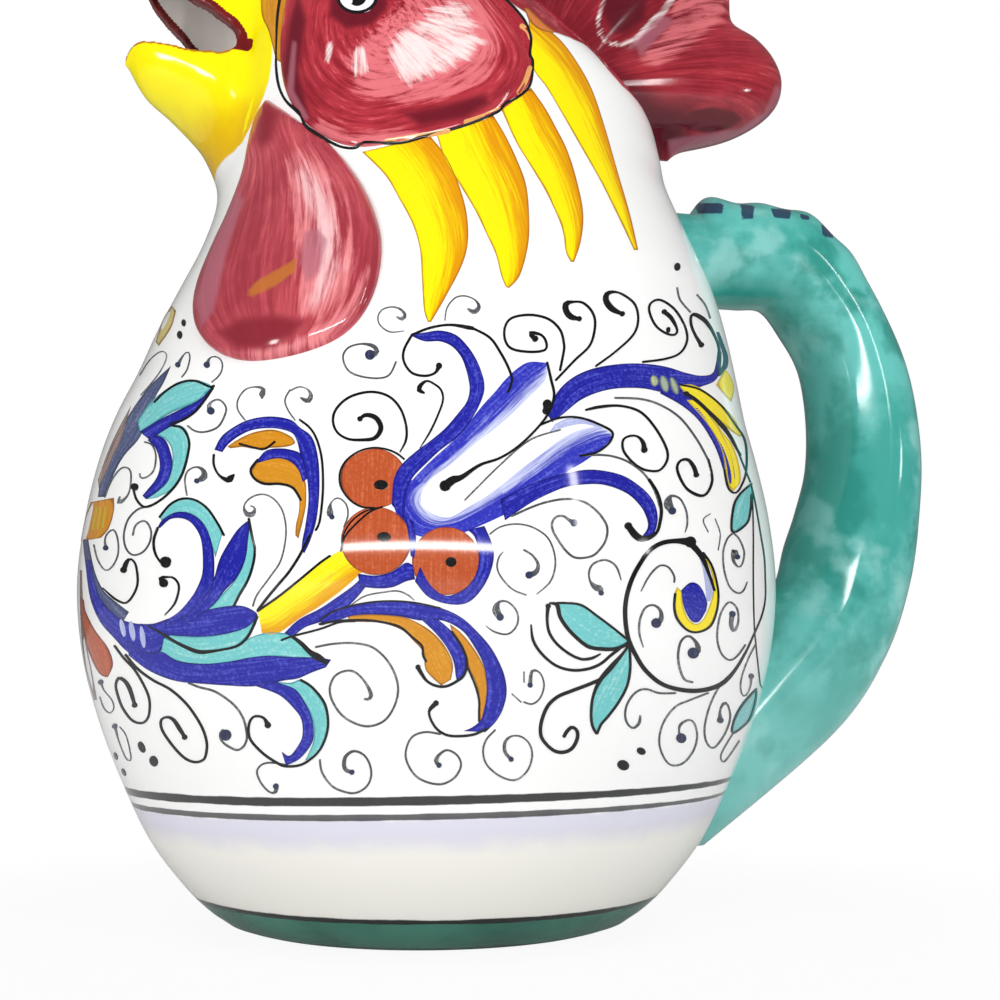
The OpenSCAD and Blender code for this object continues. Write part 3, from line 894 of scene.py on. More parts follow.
UPPER_BEAK = Beak(
    rows=((0, 1, 0, 1, 0.1), (-0.07, 0.98, 0.08, 0.93, 0.09), (0.01, 0.947, 0.215, 0.827, 0.08),
          (0.136, 0.895, 0.316, 0.739, 0.07), (0.262, 0.842, 0.418, 0.645, 0.06),
          (0.41, 0.76, 0.502, 0.554, 0.05), (0.5, 0.695, 0.582, 0.474, 0.04),
          (0.62, 0.642, 0.662, 0.384, 0.03), (0.733, 0.568, 0.743, 0.293, 0.02),
          (0.82, 0.484, 0.81, 0.219, 0.01), (0.9, 0.347, 0.886, 0.136, 0), (0.96, 0.21, 0.949, 0.071, 0),
          (1, 0.07, 1, 0.03, 0)),
    reach=71.5, rim_z=195.8, rise=23.7, tall=35.0, hollow_share=0.8, hollow_max=31.4, down=-1)
LOWER_BEAK = Beak(
    rows=((0, 1, 0, 1, 0.3), (0.1, 0.89, -0.1, 0.83, 0.22), (0.2, 0.83, 0.02, 0.665, 0.17),
          (0.33, 0.75, 0.14, 0.56, 0.11), (0.46, 0.66, 0.36, 0.495, 0.07), (0.575, 0.58, 0.64, 0.458, 0.05),
          (0.755, 0.45, 0.93, 0.389, 0.02), (0.865, 0.34, 1.07, 0.291, 0), (0.94, 0.21, 0.98, 0.164, 0),
          (0.98, 0.1, 0.77, 0.085, 0), (1, 0.05, 0.52, 0.04, 0)),
    reach=74.0, rim_z=195.2, rise=4.4, tall=27.5, hollow_share=0.45, hollow_max=6.5, down=1)


def applied(target: bpy.types.Object, kind: str, **settings: object) -> None:
    """Put one modifier on an object and apply it.

    Args:
        target: The object.
        kind: The modifier's type.
        settings: The modifier's settings.
    """
    modifier = target.modifiers.new(kind.lower(), kind)
    for name, value in settings.items():
        setattr(modifier, name, value)
    with bpy.context.temp_override(object=target, active_object=target, selected_objects=[target]):
        bpy.ops.object.modifier_apply(modifier=modifier.name)


def removed(*objects: bpy.types.Object) -> None:
    """Delete helper objects and their meshes."""
    for helper in objects:
        mesh = helper.data
        bpy.data.objects.remove(helper)
        bpy.data.meshes.remove(mesh)


def mesh_clay(target: bpy.types.Object) -> tuple[Clay, Array]:
    """Return an object's mesh in millimetres and its points' normals."""
    flat = np.empty(len(target.data.vertices) * 3)
    target.data.vertices.foreach_get("co", flat)
    normals = np.empty(len(flat))
    target.data.vertex_normals.foreach_get("vector", normals)
    faces = [tuple(face.vertices) for face in target.data.polygons]
    return Clay(flat.reshape(-1, 3) / MM, faces), normals.reshape(-1, 3)


def distances(tree: BVHTree, points: Array, reach: float = 40.0) -> Array:
    """Return each point's distance from a tree's faces, or the reach where it is farther."""
    found = [tree.find_nearest(Vector(point), reach)[3] for point in points]
    return np.array([reach if distance is None else distance for distance in found])


def with_skin_normals(points: Array, normals: Array, share: Array) -> Array:
    """Mix normals with those of the plain skin by a share for each point."""
    inner = (points[:, 2] > 2.0) & (points[:, 2] < SKIN.crown_z - 3)
    share = (share * inner)[:, None]
    z, turn = SKIN.place_of(points)
    return normals * (1 - share) + np.nan_to_num(SKIN.normal(z, turn)) * share


@dataclass(frozen=True)
class Throat:
    """The oval passage from the hollow head to the mouth."""

    width: float = 12.0
    height: float = 10.5
    middle_z: float = 203.0
    from_x: float = -59.6
    to_x: float = -5.0

    def clay(self, slack: float, sides: int = 64) -> Clay:
        """Build the passage, narrower all round by a slack."""
        turns = np.linspace(0, 2 * math.pi, sides, endpoint=False)
        rings = [np.stack([0 * turns + x, -(self.width - slack) * np.cos(turns),
                           self.middle_z + (self.height - slack) * np.sin(turns)], 1)
                 for x in np.linspace(self.to_x, self.from_x, 12)]
        return lofted(np.array(rings))


THROAT = Throat()


def yellow_mm(points: Array) -> Array:
    """Return how deep points lie in the yellow field of beak and forehead, in millimetres."""
    edge = np.array([(223, 168), (232, 158), (241, 145), (250, 128), (258, 110), (264, 96), (269, 80),
                     (272, 60), (274, 30), (274, 0)])
    z, turn = pixels_on_skin(edge)
    half = np.abs(SKIN.point(z, turn)[:, 1])
    height = np.concatenate([[z.min() - 3.0], z, [218.0, 227.0, 236.0]])
    half = np.concatenate([[-5.0], half, [22.0, 13.0, 2.0]])
    order = np.argsort(height)
    span = np.interp(points[:, 2], height[order], half[order], left=-9.0)
    return np.where(points[:, 0] < -15, span - np.abs(points[:, 1]), -20.0)


def chin_mm(points: Array) -> Array:
    """Return how high points lie over the lower end of the yellow field, in millimetres."""
    return points[:, 2] - pixels_on_skin(np.array([(222, 168)]))[0][0]


def comb_mm(points: Array) -> Array:
    """Return how high points lie over the lower edge of the crimson round the comb's root, in millimetres."""
    edge = np.array([(-40, 262), (-33, 240), (-24, 229), (-14, 222), (-5, 209.6), (3.7, 200.9), (6.8, 198.4),
                     (10.3, 196.6), (16.7, 193.8), (22, 194.2), (26.2, 195), (29.1, 192.6), (31, 190),
                     (35, 187.2), (60, 186)])
    return np.clip(points[:, 2] - np.interp(points[:, 0], edge[:, 0], edge[:, 1]), -9, 9)


@dataclass
class Shell:
    """The glazed shell of belly, neck and head, hollow and open at the throat."""

    wall: float = 5.0
    floor_t: float = 7.0
    foot_w: float = 7.0
    foot_recess: float = 2.5

    def outer(self, sides: int = 216) -> Clay:
        """Build the closed outer form, foot ring included."""
        turns = np.linspace(0, 2 * math.pi, sides, endpoint=False)
        inner_r = SKIN.foot_r - self.foot_w
        under = [(inner_r - self.foot_recess - 2, self.foot_recess),
                 (inner_r - self.foot_recess, self.foot_recess), (inner_r, 0.0),
                 (SKIN.foot_r - 5.0, 0.0), (SKIN.foot_r - 2.4, 0.25), (SKIN.foot_r - 0.4, 0.8)]
        rings = [np.stack([r * np.cos(turns), r * np.sin(turns), 0 * turns + z], 1) for r, z in under]
        crown = SKIN.seam_z + (SKIN.crown_z - SKIN.seam_z) * np.sin(np.linspace(0, math.pi / 2, 110))[:-1]
        for z in np.concatenate([np.linspace(1.5, SKIN.seam_z, 90)[:-1], crown]):
            rings.append(SKIN.point(np.full(sides, z), turns))
        return lofted(np.array(rings))

    def cavity(self, sides: int = 120) -> Clay:
        """Build the hollow: belly, neck and skull."""
        turns = np.linspace(0, 2 * math.pi, sides, endpoint=False)
        inward = self.wall * np.stack([np.cos(turns), np.sin(turns), 0 * turns], 1)
        span = SKIN.crown_z - SKIN.seam_z
        rings = [SKIN.point(np.full(sides, z), turns) - inward
                 for z in np.linspace(self.floor_t, SKIN.seam_z, 50)[:-1]]
        for share in np.sin(np.linspace(0, math.pi / 2, 60))[:-4]:
            ring = SKIN.point(np.full(sides, SKIN.seam_z + span * share), turns) - inward
            ring[:, 2] = SKIN.seam_z + (ring[:, 2] - SKIN.seam_z) * (span - self.wall) / span
            rings.append(ring)
        return lofted(np.array(rings))

    def build(self, finish: bpy.types.Material) -> bpy.types.Object:
        """Hollow the shell, open its throat and dress it."""
        hollow = self.cavity()
        solid = self.outer().joined(Clay(hollow.points, [face[::-1] for face in hollow.faces])).fired("shell")
        cutter = THROAT.clay(0.0).fired("throat")
        applied(solid, "BOOLEAN", operation="DIFFERENCE", solver="EXACT", object=cutter)
        clay, normals = mesh_clay(solid)
        removed(cutter, solid)
        on_skin = (np.abs(SKIN.depth(clay.points) - 1) < 0.002).astype(float)
        clay.values = {"yellow_mm": yellow_mm(clay.points), "under_beak": np.zeros(len(clay.points)),
                       "comb_mm": comb_mm(clay.points)}
        clay.normals = with_skin_normals(clay.points, normals, on_skin)
        shell = clay.fired("shell")
        return finish_piece(shell, finish, Slot.WHITE, "body", "head")


@dataclass
class Muzzle:
    """The open beak, fused with a patch of the skin round it and rounded where the two meet."""

    voxel: float = 0.55
    quick_voxel: float = 1.0
    low_z: float = 150.0
    high_z: float = 234.0
    half_turn: float = 1.15
    thick: float = 3.0
    fillet: float = 6.0
    proud: float = 0.04
    sunk: float = 0.06
    fade: float = 7.0

    def patch(self) -> Clay:
        """Build the patch of the head's front, flush with the skin."""
        turns = np.linspace(math.pi - self.half_turn, math.pi + self.half_turn, 90)
        rings = []
        for z in np.linspace(self.low_z, self.high_z, 110):
            level = np.full(len(turns), z)
            under = SKIN.point(level, turns, 0 * turns - self.thick)
            rings.append(np.vstack([SKIN.point(level, turns), under[::-1]]))
        return zipped(np.array(rings))

    def lift(self, z: Array, turn: Array) -> Array:
        """Return how far the patch stands off the skin: a hair near the beak, and under it at its border."""
        side = (self.half_turn - np.abs((turn % (2 * math.pi)) - math.pi)) * SKIN.ring(z)[2]
        inner = np.minimum(np.minimum(z - self.low_z, self.high_z - z), side)
        return -self.sunk + (self.sunk + self.proud) * smoothstep(1.0, self.fade, inner)

    def rounded(self, clay: Clay, softness: Array, rounds: int) -> None:
        """Smooth points towards their neighbours by a softness for each point."""
        corners = np.array([(face[index], face[index - 1])
                            for face in clay.faces for index in range(len(face))])
        count = np.bincount(corners.ravel(), minlength=len(clay.points))
        for _ in range(rounds):
            total = np.stack([np.bincount(corners[:, 0], clay.points[corners[:, 1], axis], len(clay.points))
                              + np.bincount(corners[:, 1], clay.points[corners[:, 0], axis], len(clay.points))
                              for axis in range(3)], 1)
            clay.points += (total / np.maximum(count, 1)[:, None] - clay.points) * softness[:, None]

    def build(self, finish: bpy.types.Material) -> bpy.types.Object:
        """Fuse, open, round and dress the muzzle."""
        fused = self.patch().joined(UPPER_BEAK.clay()).joined(LOWER_BEAK.clay()).fired("muzzle")
        voxel = self.voxel
        applied(fused, "REMESH", mode="VOXEL", voxel_size=voxel * MM)
        cutter = THROAT.clay(0.3).fired("throat")
        applied(fused, "BOOLEAN", operation="DIFFERENCE", solver="EXACT", object=cutter)
        clay, _ = mesh_clay(fused)
        removed(cutter, fused)
        points = clay.points
        beaks = (UPPER_BEAK, LOWER_BEAK)
        outer, inner = (np.min([distances(beak.part(name), points) for beak in beaks], 0)
                        for name in ("outer", "inner"))
        rims = [distances(beak.part("rim"), points) for beak in beaks]
        _, half, side = SKIN.ring(points[:, 2])
        skin = np.abs(SKIN.depth(points) - 1) * np.minimum(half, side)
        crease = np.maximum(outer, skin)
        soft = smoothstep(self.fillet, self.fillet * 0.3, crease) * smoothstep(1.5, 5.0, np.min(rims, 0))
        self.rounded(clay, soft * 0.5, int(120 * (self.voxel / voxel) ** 2))
        self.rounded(clay, smoothstep(0.8, 2.0, np.min(rims, 0)) * 0.35, 4)
        points = clay.points
        plain = (skin < voxel * 0.9) * smoothstep(self.fillet * 0.6, self.fillet * 1.1, outer)
        z, turn = SKIN.place_of(points)
        on = plain > 0
        true = SKIN.point(z[on], turn[on], self.lift(z[on], turn[on]))
        points[on] = points[on] * (1 - plain[on, None]) + true * plain[on, None]
        made = clay.fired("muzzle")
        _, normals = mesh_clay(made)
        removed(made)
        # Below z 192 one of these values rises to paint ochre shade under the beak.
        clay.values = {"yellow_mm": np.minimum(np.maximum(yellow_mm(points), 3.0 - outer), chin_mm(points)),
                       "under_beak": smoothstep(192, 172, points[:, 2]), "comb_mm": comb_mm(points),
                       "inside_beak": smoothstep(-0.4, 0.4, outer - inner) * (points[:, 0] < -30),
                       "rim": smoothstep(1.8, 1.2, rims[0]),
                       "lip": smoothstep(0.9, 0.4, np.maximum(rims[1], outer))}
        clay.normals = with_skin_normals(points, normals, plain)
        muzzle = clay.fired("muzzle")
        return finish_piece(muzzle, finish, Slot.YELLOW, "upper_beak", "lower_beak")


@dataclass
class Crest:
    """The comb: a puffy fan of lobes that grows out of the head from nape to forehead."""

    radius: float = 80.0
    lobe_t: float = 15.0
    root_t: float = 19.0
    centre_x: float = 18.0
    centre_z: float = 192.0
    turn_0: float = math.radians(-6.5)
    turn_1: float = math.radians(140)
    rim_shares: tuple = (0.549, 0.617, 0.798, 0.924, 0.974, 0.973, 0.942, 0.891, 0.925, 0.98, 1.01, 1.015,
                         0.995, 0.94, 0.885, 0.87, 0.905, 0.935, 0.942, 0.93, 0.9, 0.86, 0.835, 0.855,
                         0.885, 0.9, 0.9, 0.89, 0.875, 0.86)
    lobes: int = 4
    valley_share: float = 0.62
    tip_share: float = 0.12
    front_share: float = 0.5
    sunk: float = 3.0
    tints: dict[str, tuple[Field, ...]] = field(default_factory=lambda: {
        # Lighter pink on the upper lobe, thin crimson with a painted reflection on it, and along the lower
        # lobe's edge.
        "pale": (Field(((676, -20), (732, -20), (726, 6), (722, 20), (704, 36), (684, 52), (658, 65),
                        (640, 61), (646, 45), (668, 26)), 8.0),
                 Field(((640, 200), (668, 156), (712, 146), (752, 134), (778, 110), (790, 120), (760, 150)),
                        9.0)),
        # A U-shaped painted highlight on the upper lobe.
        "bare": (Field(((609, -12), (597, 8), (594, 28), (603, 45), (620, 49), (640, 40), (660, 24),
                        (680, -4), (686, -20), (680, -20), (664, 2), (646, 22), (634, 35), (620, 42),
                        (609, 39), (601, 26), (603, 12), (615, -12)), 3.0),),
        # A dark oval on the lower lobe, the dark inside of the painted highlight, and painted shade in the
        # hollow at the root.
        "deep": (Field(((676, 121), (690, 110), (712, 106), (734, 110), (744, 119), (730, 130), (708, 134),
                        (686, 130)), 4.0),
                 Field(((604, -20), (652, -20), (646, 20), (626, 36), (610, 34), (600, 12)), 8.0),
                 Field(((596, 56), (636, 76), (664, 96), (700, 100), (690, 146), (656, 166), (630, 120)),
                        26.0)),
        # A mauve strip along the lower lobe, and a mauve edge to the painted highlight.
        "mauve": (Field(((668, 140), (700, 134), (740, 128), (764, 112), (776, 84), (784, 90), (778, 116),
                         (752, 136), (700, 154), (670, 162)), 5.0),
                  Field(((632, 40), (662, 14), (676, 20), (640, 58)), 5.0))})

    def half(self, fan: float, out: Array) -> Array:
        """Return the half thickness.

        Args:
            fan: Place round the fan, from nape 0 to forehead 1.
            out: Places from the root 0 to the rim 1.

        Returns:
            The half thickness at each place.
        """
        end = max(self.tip_share, math.sqrt(max(0, 1 - abs(2 * fan - 1) ** 5)))
        root = self.root_t * (1 - (1 - self.front_share) * fan)
        swell = abs(math.sin(math.pi * fan * self.lobes))
        lobe = self.lobe_t * (self.valley_share + (1 - self.valley_share) * swell)
        return end * (root + (lobe - root) * np.minimum(1, 1.5 * out)) * np.sqrt(1 - out ** 4)

    def root(self, ray: Array, y: Array) -> Array:
        """Return how far from the crest's centre the head's skin lies along a ray, at each Y."""
        start = np.stack([0 * y + self.centre_x, y, 0 * y + self.centre_z], 1)
        low, high = np.zeros(len(y)), np.full(len(y), self.radius)
        for _ in range(18):
            middle = (low + high) / 2
            within = SKIN.depth(start + ray * middle[:, None]) < 1
            low, high = np.where(within, middle, low), np.where(within, high, middle)
        return high

    def build(self, fans: int = 300, outs: int = 64) -> bpy.types.Object:
        """Build and dress the crest."""
        places = 1 - (1 - np.linspace(0, 1, outs)) ** 1.8
        rims = self.radius * spline(np.array(self.rim_shares)[:, None],
                                    np.linspace(0, len(self.rim_shares) - 1, fans + 1))[:, 0]
        rings, alongs, acrosses = [], [], []
        for index, rim in enumerate(rims):
            fan = index / fans
            turn = self.turn_0 + (self.turn_1 - self.turn_0) * fan
            ray = np.array([math.cos(turn), 0, math.sin(turn)])
            half = self.half(fan, places)
            y = np.concatenate([-half, half[-2::-1]])
            out = np.concatenate([places, places[-2::-1]])
            root = self.root(ray, y) - self.sunk
            away = root + (rim - root) * out
            rings.append(np.stack([self.centre_x + ray[0] * away, y, self.centre_z + ray[2] * away], 1))
            alongs.append(out)
            acrosses.append(np.full(len(out), fan))
        grid = np.array(rings)
        clay = lofted(grid)
        pad = [0.0, 0.0]
        along, across = (np.concatenate([np.array(values).ravel(), pad]) for values in (alongs, acrosses))
        hairs = np.stack([along * 2.0, across * 70.0 + 3.0 * along ** 2, 0 * along], 1)
        clay.values = {"hairs": hairs, "rays": hairs * 1.4, **tinted(clay.points, self.tints)}
        # The darkest crimson paints shade and dark reflection on the crest.
        glaze = CrimsonGlaze("crest_glaze", srgb(126, 24, 38), srgb(176, 50, 62), srgb(226, 122, 128),
                             deep=srgb(84, 14, 30))
        return finish_piece(clay.fired("crest"), glaze.material(), Slot.CRIMSON, "crest")


@dataclass
class Handle:
    """The tail loop, with knuckles along its top. Rows are shares, as in the construction."""

    belly_x: float = 79.7
    outer_x: float = 128.9
    half_w: float = 15.0
    top_z: float = 176.4
    tail_z: float = 14.0
    knuckle_h: float = 1.2
    knuckles: int = 4
    knuckles_from: float = 0.6
    rows: tuple = ((-0.275, 0.82, -0.254, 0.975, 0.86), (-0.116, 0.831, -0.176, 1, 0.88),
                   (0.026, 0.833, 0.084, 0.999, 0.91), (0.184, 0.832, 0.365, 0.992, 0.935),
                   (0.299, 0.79, 0.594, 0.938, 0.96), (0.396, 0.737, 0.786, 0.847, 0.985),
                   (0.424, 0.659, 0.937, 0.742, 1), (0.404, 0.581, 1, 0.618, 1),
                   (0.335, 0.514, 0.978, 0.506, 1), (0.262, 0.459, 0.91, 0.395, 0.975),
                   (0.202, 0.402, 0.751, 0.278, 0.92), (0.079, 0.366, 0.45, 0.163, 0.84),
                   (0, 0.32, -0.275, 0, 0.7))
    navy: tuple[Field, ...] = (
        Field(((694, 203), (724, 203), (722, 213), (698, 214)), 3.0),
        Field(((740, 204), (755, 206), (753, 219), (742, 219)), 3.0),
        Field(((770, 208), (791, 210), (790, 219), (774, 218)), 3.0),
        Field(((800, 214), (810, 216), (809, 220), (801, 219)), 2.5),
        Field(((821, 224), (834, 228), (833, 238), (823, 236)), 3.0))
    sunk: float = 2.5

    def build(self, stations: int = 240, sides: int = 72) -> bpy.types.Object:
        """Build and dress the handle."""
        angles = np.linspace(0, 2 * math.pi, sides, endpoint=False)
        places = np.linspace(0, len(self.rows) - 1, stations + 1)
        rings = []
        for place, (ax, az, bx, bz, wide) in zip(places, spline(np.array(self.rows), places)):
            span_x, span_z = self.outer_x - self.belly_x, self.top_z - self.tail_z
            inner = np.array([self.belly_x + span_x * ax, self.tail_z + span_z * az])
            outer = np.array([self.belly_x + span_x * bx, self.tail_z + span_z * bz])
            arm = (outer - inner) / 2
            gone = place - self.knuckles_from
            lump = self.knuckle_h * math.sin(math.pi * gone) ** 2 if 0 < gone < self.knuckles else 0
            flat = ((inner + outer) / 2 + arm * np.cos(angles)[:, None]
                    + arm / np.linalg.norm(arm) * (lump * np.maximum(0, np.cos(angles)) ** 3)[:, None])
            y = self.half_w * wide * np.sin(angles)
            skin = SKIN.x_at(y, flat[:, 1], 1)
            end = place in (places[0], places[-1])
            x = skin - self.sunk if end else np.maximum(flat[:, 0], skin - self.sunk / 2)
            rings.append(np.stack([x, y, flat[:, 1]], 1))
        clay = lofted(np.array(rings)[:, ::-1])
        # 1 on the loop's outer side and -1 on its inner side, read by the glaze to paint light and shade.
        side = np.tile(np.cos(angles)[::-1], len(rings))
        clay.values = {"side": np.concatenate([side, [0.0, 0.0]]), "navy": painted(clay.points, self.navy)}
        return finish_piece(clay.fired("handle"), TealGlaze().material(), Slot.TEAL, "handle")


class Side(Enum):
    """The rooster's left, which the camera sees, and its right."""

    LEFT = "left"
    RIGHT = "right"


@dataclass
class Pad:
    """A raised shape that lies on the skin. Its outline is in shares of its half width and half length."""

    name: str
    outline: tuple
    turn: float
    height: float
    half_w: float
    half_l: float
    proud: float
    tints: dict[str, tuple[Field, ...]]
    rays_from: Pixel | None = None
    combed: bool = False
    sunk: float = 0.8
    roll: float = 0.55

    def place(self, shares: Array) -> tuple[Array, Array]:
        """Turn shares of the pad's size into heights and turns on the skin."""
        z = self.height + self.half_l * shares[..., 1]
        return z, math.radians(self.turn) + self.half_w * shares[..., 0] / SKIN.ring(z)[2]

    def lift_at(self, z: Array, turn: Array) -> Array:
        """Return how far the pad stands off the skin at places on it."""
        edge = spline(np.array(self.outline), np.linspace(0, len(self.outline) - 1, 240, endpoint=False))
        x = (turn - math.radians(self.turn)) * SKIN.ring(z)[2] / self.half_w
        y = (z - self.height) / self.half_l
        rim = np.interp(np.arctan2(y, x).ravel(), np.arctan2(edge[:, 1], edge[:, 0]), np.hypot(*edge.T),
                        period=2 * math.pi).reshape(x.shape)
        share = np.minimum(np.hypot(x, y) / rim, 1.0)
        return self.proud * np.sqrt(1 - share ** (2 / self.roll))

    def clay(self, rows: int = 48, sides: int = 200) -> Clay:
        """Build the pad as a closed mesh."""
        outline = spline(np.array(self.outline), np.linspace(0, len(self.outline) - 1, sides, endpoint=False))
        rings, shares, depths = [], [], []
        over = [(math.cos(angle) ** self.roll, self.proud * math.sin(angle))
                for angle in np.linspace(0, 0.9, rows // 2)]
        flat = [(scale, self.proud * math.sqrt(1 - scale ** (2 / self.roll)))
                for scale in np.linspace(over[-1][0], 0.02, rows // 2)[1:]]
        for scale, lift in [(0.5, -self.sunk), (1.0, -self.sunk)] + over + flat:
            z, turn = self.place(outline * scale)
            rings.append(SKIN.point(z, turn, np.full(sides, lift)))
            shares.append(outline * scale)
            depths.append(np.full(sides, scale))
        clay = lofted(np.array(rings))
        shares = np.vstack([np.concatenate(shares), [[0, 0], [0, 0]]])
        depth = np.concatenate([*depths, [0.5, 0.02]])
        round_it = shares / np.maximum(np.linalg.norm(shares, axis=1, keepdims=True), 0.01)
        hairs = np.column_stack([round_it * 2.2, depth * self.half_w])
        if self.combed:
            foot = int(outline[:, 1].argmin())
            right = np.interp(-shares[:, 1], -outline[:foot + 1, 1], outline[:foot + 1, 0])
            left = np.interp(shares[:, 1], outline[foot:, 1], outline[foot:, 0])
            across = (shares[:, 0] - (left + right) / 2) / np.maximum(right - left, 1.1)
            hairs = np.column_stack([shares[:, 1] * 1.4, across * 24.0, 0 * across])
        rays = hairs
        if self.rays_from is not None:
            away = VIEW.pixels_of(clay.points) - self.rays_from
            rays = np.column_stack([np.arctan2(away[:, 1], away[:, 0]) * 14.0, np.hypot(*away.T) * 0.02,
                                    0 * depth])
        clay.values = {"hairs": hairs, "rays": rays, **tinted(clay.points, self.tints)}
        return clay

    def build(self, finish: CrimsonGlaze) -> list[bpy.types.Object]:
        """Build and dress the pad on both sides."""
        material = finish.material()
        made = []
        for side in Side:
            clay = self.clay() if side is Side.LEFT else self.clay().mirrored()
            name = f"{self.name}_{side.value}"
            made.append(finish_piece(clay.fired(name), material, Slot.CRIMSON, name))
        return made


WATTLE = Pad(
    "wattle", turn=-134.0, height=147.0, half_w=24.5, half_l=32.5, proud=5.0, combed=True,
    outline=((-0.5, 0.98), (-0.2, 0.8), (0.2, 0.53), (0.61, 0.15), (0.91, -0.24), (1, -0.59), (0.88, -0.87),
             (0.55, -0.99), (0.1, -1), (-0.34, -0.88), (-0.7, -0.68), (-0.88, -0.44), (-0.92, -0.12),
             (-0.88, 0.26), (-0.79, 0.62), (-0.66, 0.88), (-0.5, 0.98)),
    tints={
        # Lighter pink in the middle, a painted reflection, and along the lower right edge.
        "pale": (Field(((284, 160), (300, 150), (326, 170), (346, 205), (358, 250), (350, 290), (322, 322),
                        (296, 316), (300, 280), (292, 220)), 12.0),
                 Field(((234, 345), (290, 340), (330, 318), (352, 290), (366, 260), (378, 270), (360, 310),
                        (320, 345), (260, 362)), 8.0)),
        # The near-white core of that painted reflection.
        "bare": (Field(((290, 168), (306, 158), (330, 190), (344, 230), (346, 268), (330, 300), (312, 318),
                        (304, 300), (318, 262), (306, 220)), 14.0),),
        # Painted shade on the left of the top, and a painted dark reflection along the bottom.
        "deep": (Field(((258, 104), (272, 100), (282, 114), (274, 140), (262, 150), (254, 140)), 12.0),
                 Field(((213, 332), (240, 316), (276, 313), (308, 320), (294, 337), (266, 350), (236, 350)),
                        11.0)),
        # Painted shade down the left edge, where the wattle turns away, and a small mauve patch in the
        # middle.
        "mauve": (Field(((194, 300), (206, 262), (222, 222), (238, 190), (244, 200), (228, 250), (214, 312),
                         (200, 330)), 6.0),
                  Field(((304, 232), (316, 226), (328, 240), (320, 272), (306, 284), (300, 262)), 5.0)),
        "tan": (Field(((245, 294), (256, 281), (298, 257), (295, 272), (276, 286), (252, 297)), 5.0),)})
CHEEK = Pad(
    "cheek", turn=-112.0, height=191.0, half_w=28.6, half_l=28.4, proud=1.8, rays_from=(357.0, -3.0),
    outline=((0.1, 0.97), (0.44, 0.88), (0.68, 0.65), (0.83, 0.35), (0.93, 0.03), (0.99, -0.28), (0.9, -0.54),
             (0.68, -0.74), (0.4, -0.88), (0.06, -0.97), (-0.34, -1), (-0.63, -0.86), (-0.86, -0.6),
             (-0.99, -0.28), (-0.99, 0.05), (-0.86, 0.38), (-0.62, 0.68), (-0.28, 0.9), (0.1, 0.97)),
    tints={
        # Lighter pink in the middle, thin crimson with a painted reflection on it, and along the lower edge.
        "pale": (Field(((345, 60), (380, 20), (424, -20), (470, -20), (490, 10), (500, 46), (486, 76),
                        (450, 100), (400, 106), (356, 94)), 12.0),
                 Field(((300, 140), (320, 118), (350, 132), (420, 130), (440, 140), (360, 150)), 8.0)),
        # The broad near-white middle is thin crimson with a painted highlight on it; the two small marks by
        # the eye are white brush marks.
        "bare": (Field(((392, 34), (428, 8), (452, -10), (470, 6), (482, 28), (486, 44), (466, 64), (444, 78),
                        (412, 88), (396, 80), (384, 58)), 15.0),
                 Field(((352, 52), (358, 43), (367, 48), (369, 72), (360, 80), (351, 72)), 4.0),
                 Field(((324, 62), (326, 42), (333, 40), (334, 52), (330, 66)), 4.0)),
        "deep": (Field(((280, 75), (288, 20), (298, -10), (308, 20), (300, 70), (312, 122), (294, 106)), 8.0),
                 Field(((330, -20), (390, -20), (388, 10), (372, 26), (346, 30), (328, 16)), 7.0),
                 Field(((398, 112), (440, 104), (486, 92), (492, 104), (466, 120), (420, 128)), 10.0)),
        "mauve": (Field(((286, 92), (292, 40), (297, 42), (294, 90), (310, 118), (304, 122)), 4.0),),
        "tan": ()})


def even_run(knots: Array, step: float) -> Array:
    """Space rows evenly along the smooth curve through knots.

    Args:
        knots: One row per knot, which starts with its pixel.
        step: The spacing in pixels.

    Returns:
        The rows.
    """
    last = len(knots) - 1
    fine = spline(knots, np.linspace(0, last, last * 12 + 1))
    gone = np.concatenate([[0], np.cumsum(np.linalg.norm(np.diff(fine[:, :2], axis=0), axis=1))])
    places = np.linspace(0, gone[-1], max(2, int(gone[-1] / step) + 1))
    return np.stack([np.interp(places, gone, column) for column in fine.T], 1)


@dataclass(frozen=True)
class Stroke:
    """A line of the brush, as pixels of the photograph. A third number is the width there, in pixels."""

    points: tuple[tuple[float, ...], ...]
    width: float = 2.0

    def edges(self, step: float) -> tuple[Array, Array]:
        """Return the stroke's two edges, round at both ends."""
        knots = np.array([(*place[:2], place[2] if len(place) > 2 else self.width) for place in self.points])
        run = even_run(knots, step)
        ahead = np.gradient(run[:, :2], axis=0)
        ahead /= np.maximum(np.linalg.norm(ahead, axis=1, keepdims=True), 1e-9)
        half = run[:, 2] / 2
        middle, reach, heading = [run[:, :2]], [half], [ahead]
        angles = np.radians([85.0, 60.0, 30.0])
        for end, sign in ((0, -1), (-1, 1)):
            tip = run[end, :2] + sign * ahead[end] * (half[end] * np.sin(angles))[:, None]
            cap = (tip, half[end] * np.cos(angles), np.repeat(ahead[end][None], 3, 0))
            for parts, part in zip((middle, reach, heading), cap):
                if end == 0:
                    parts.insert(0, part)
                else:
                    parts.append(part[::-1])
        middle, reach, heading = (np.concatenate(parts) for parts in (middle, reach, heading))
        across = np.stack([-heading[:, 1], heading[:, 0]], 1) * reach[:, None]
        return middle + across, middle - across


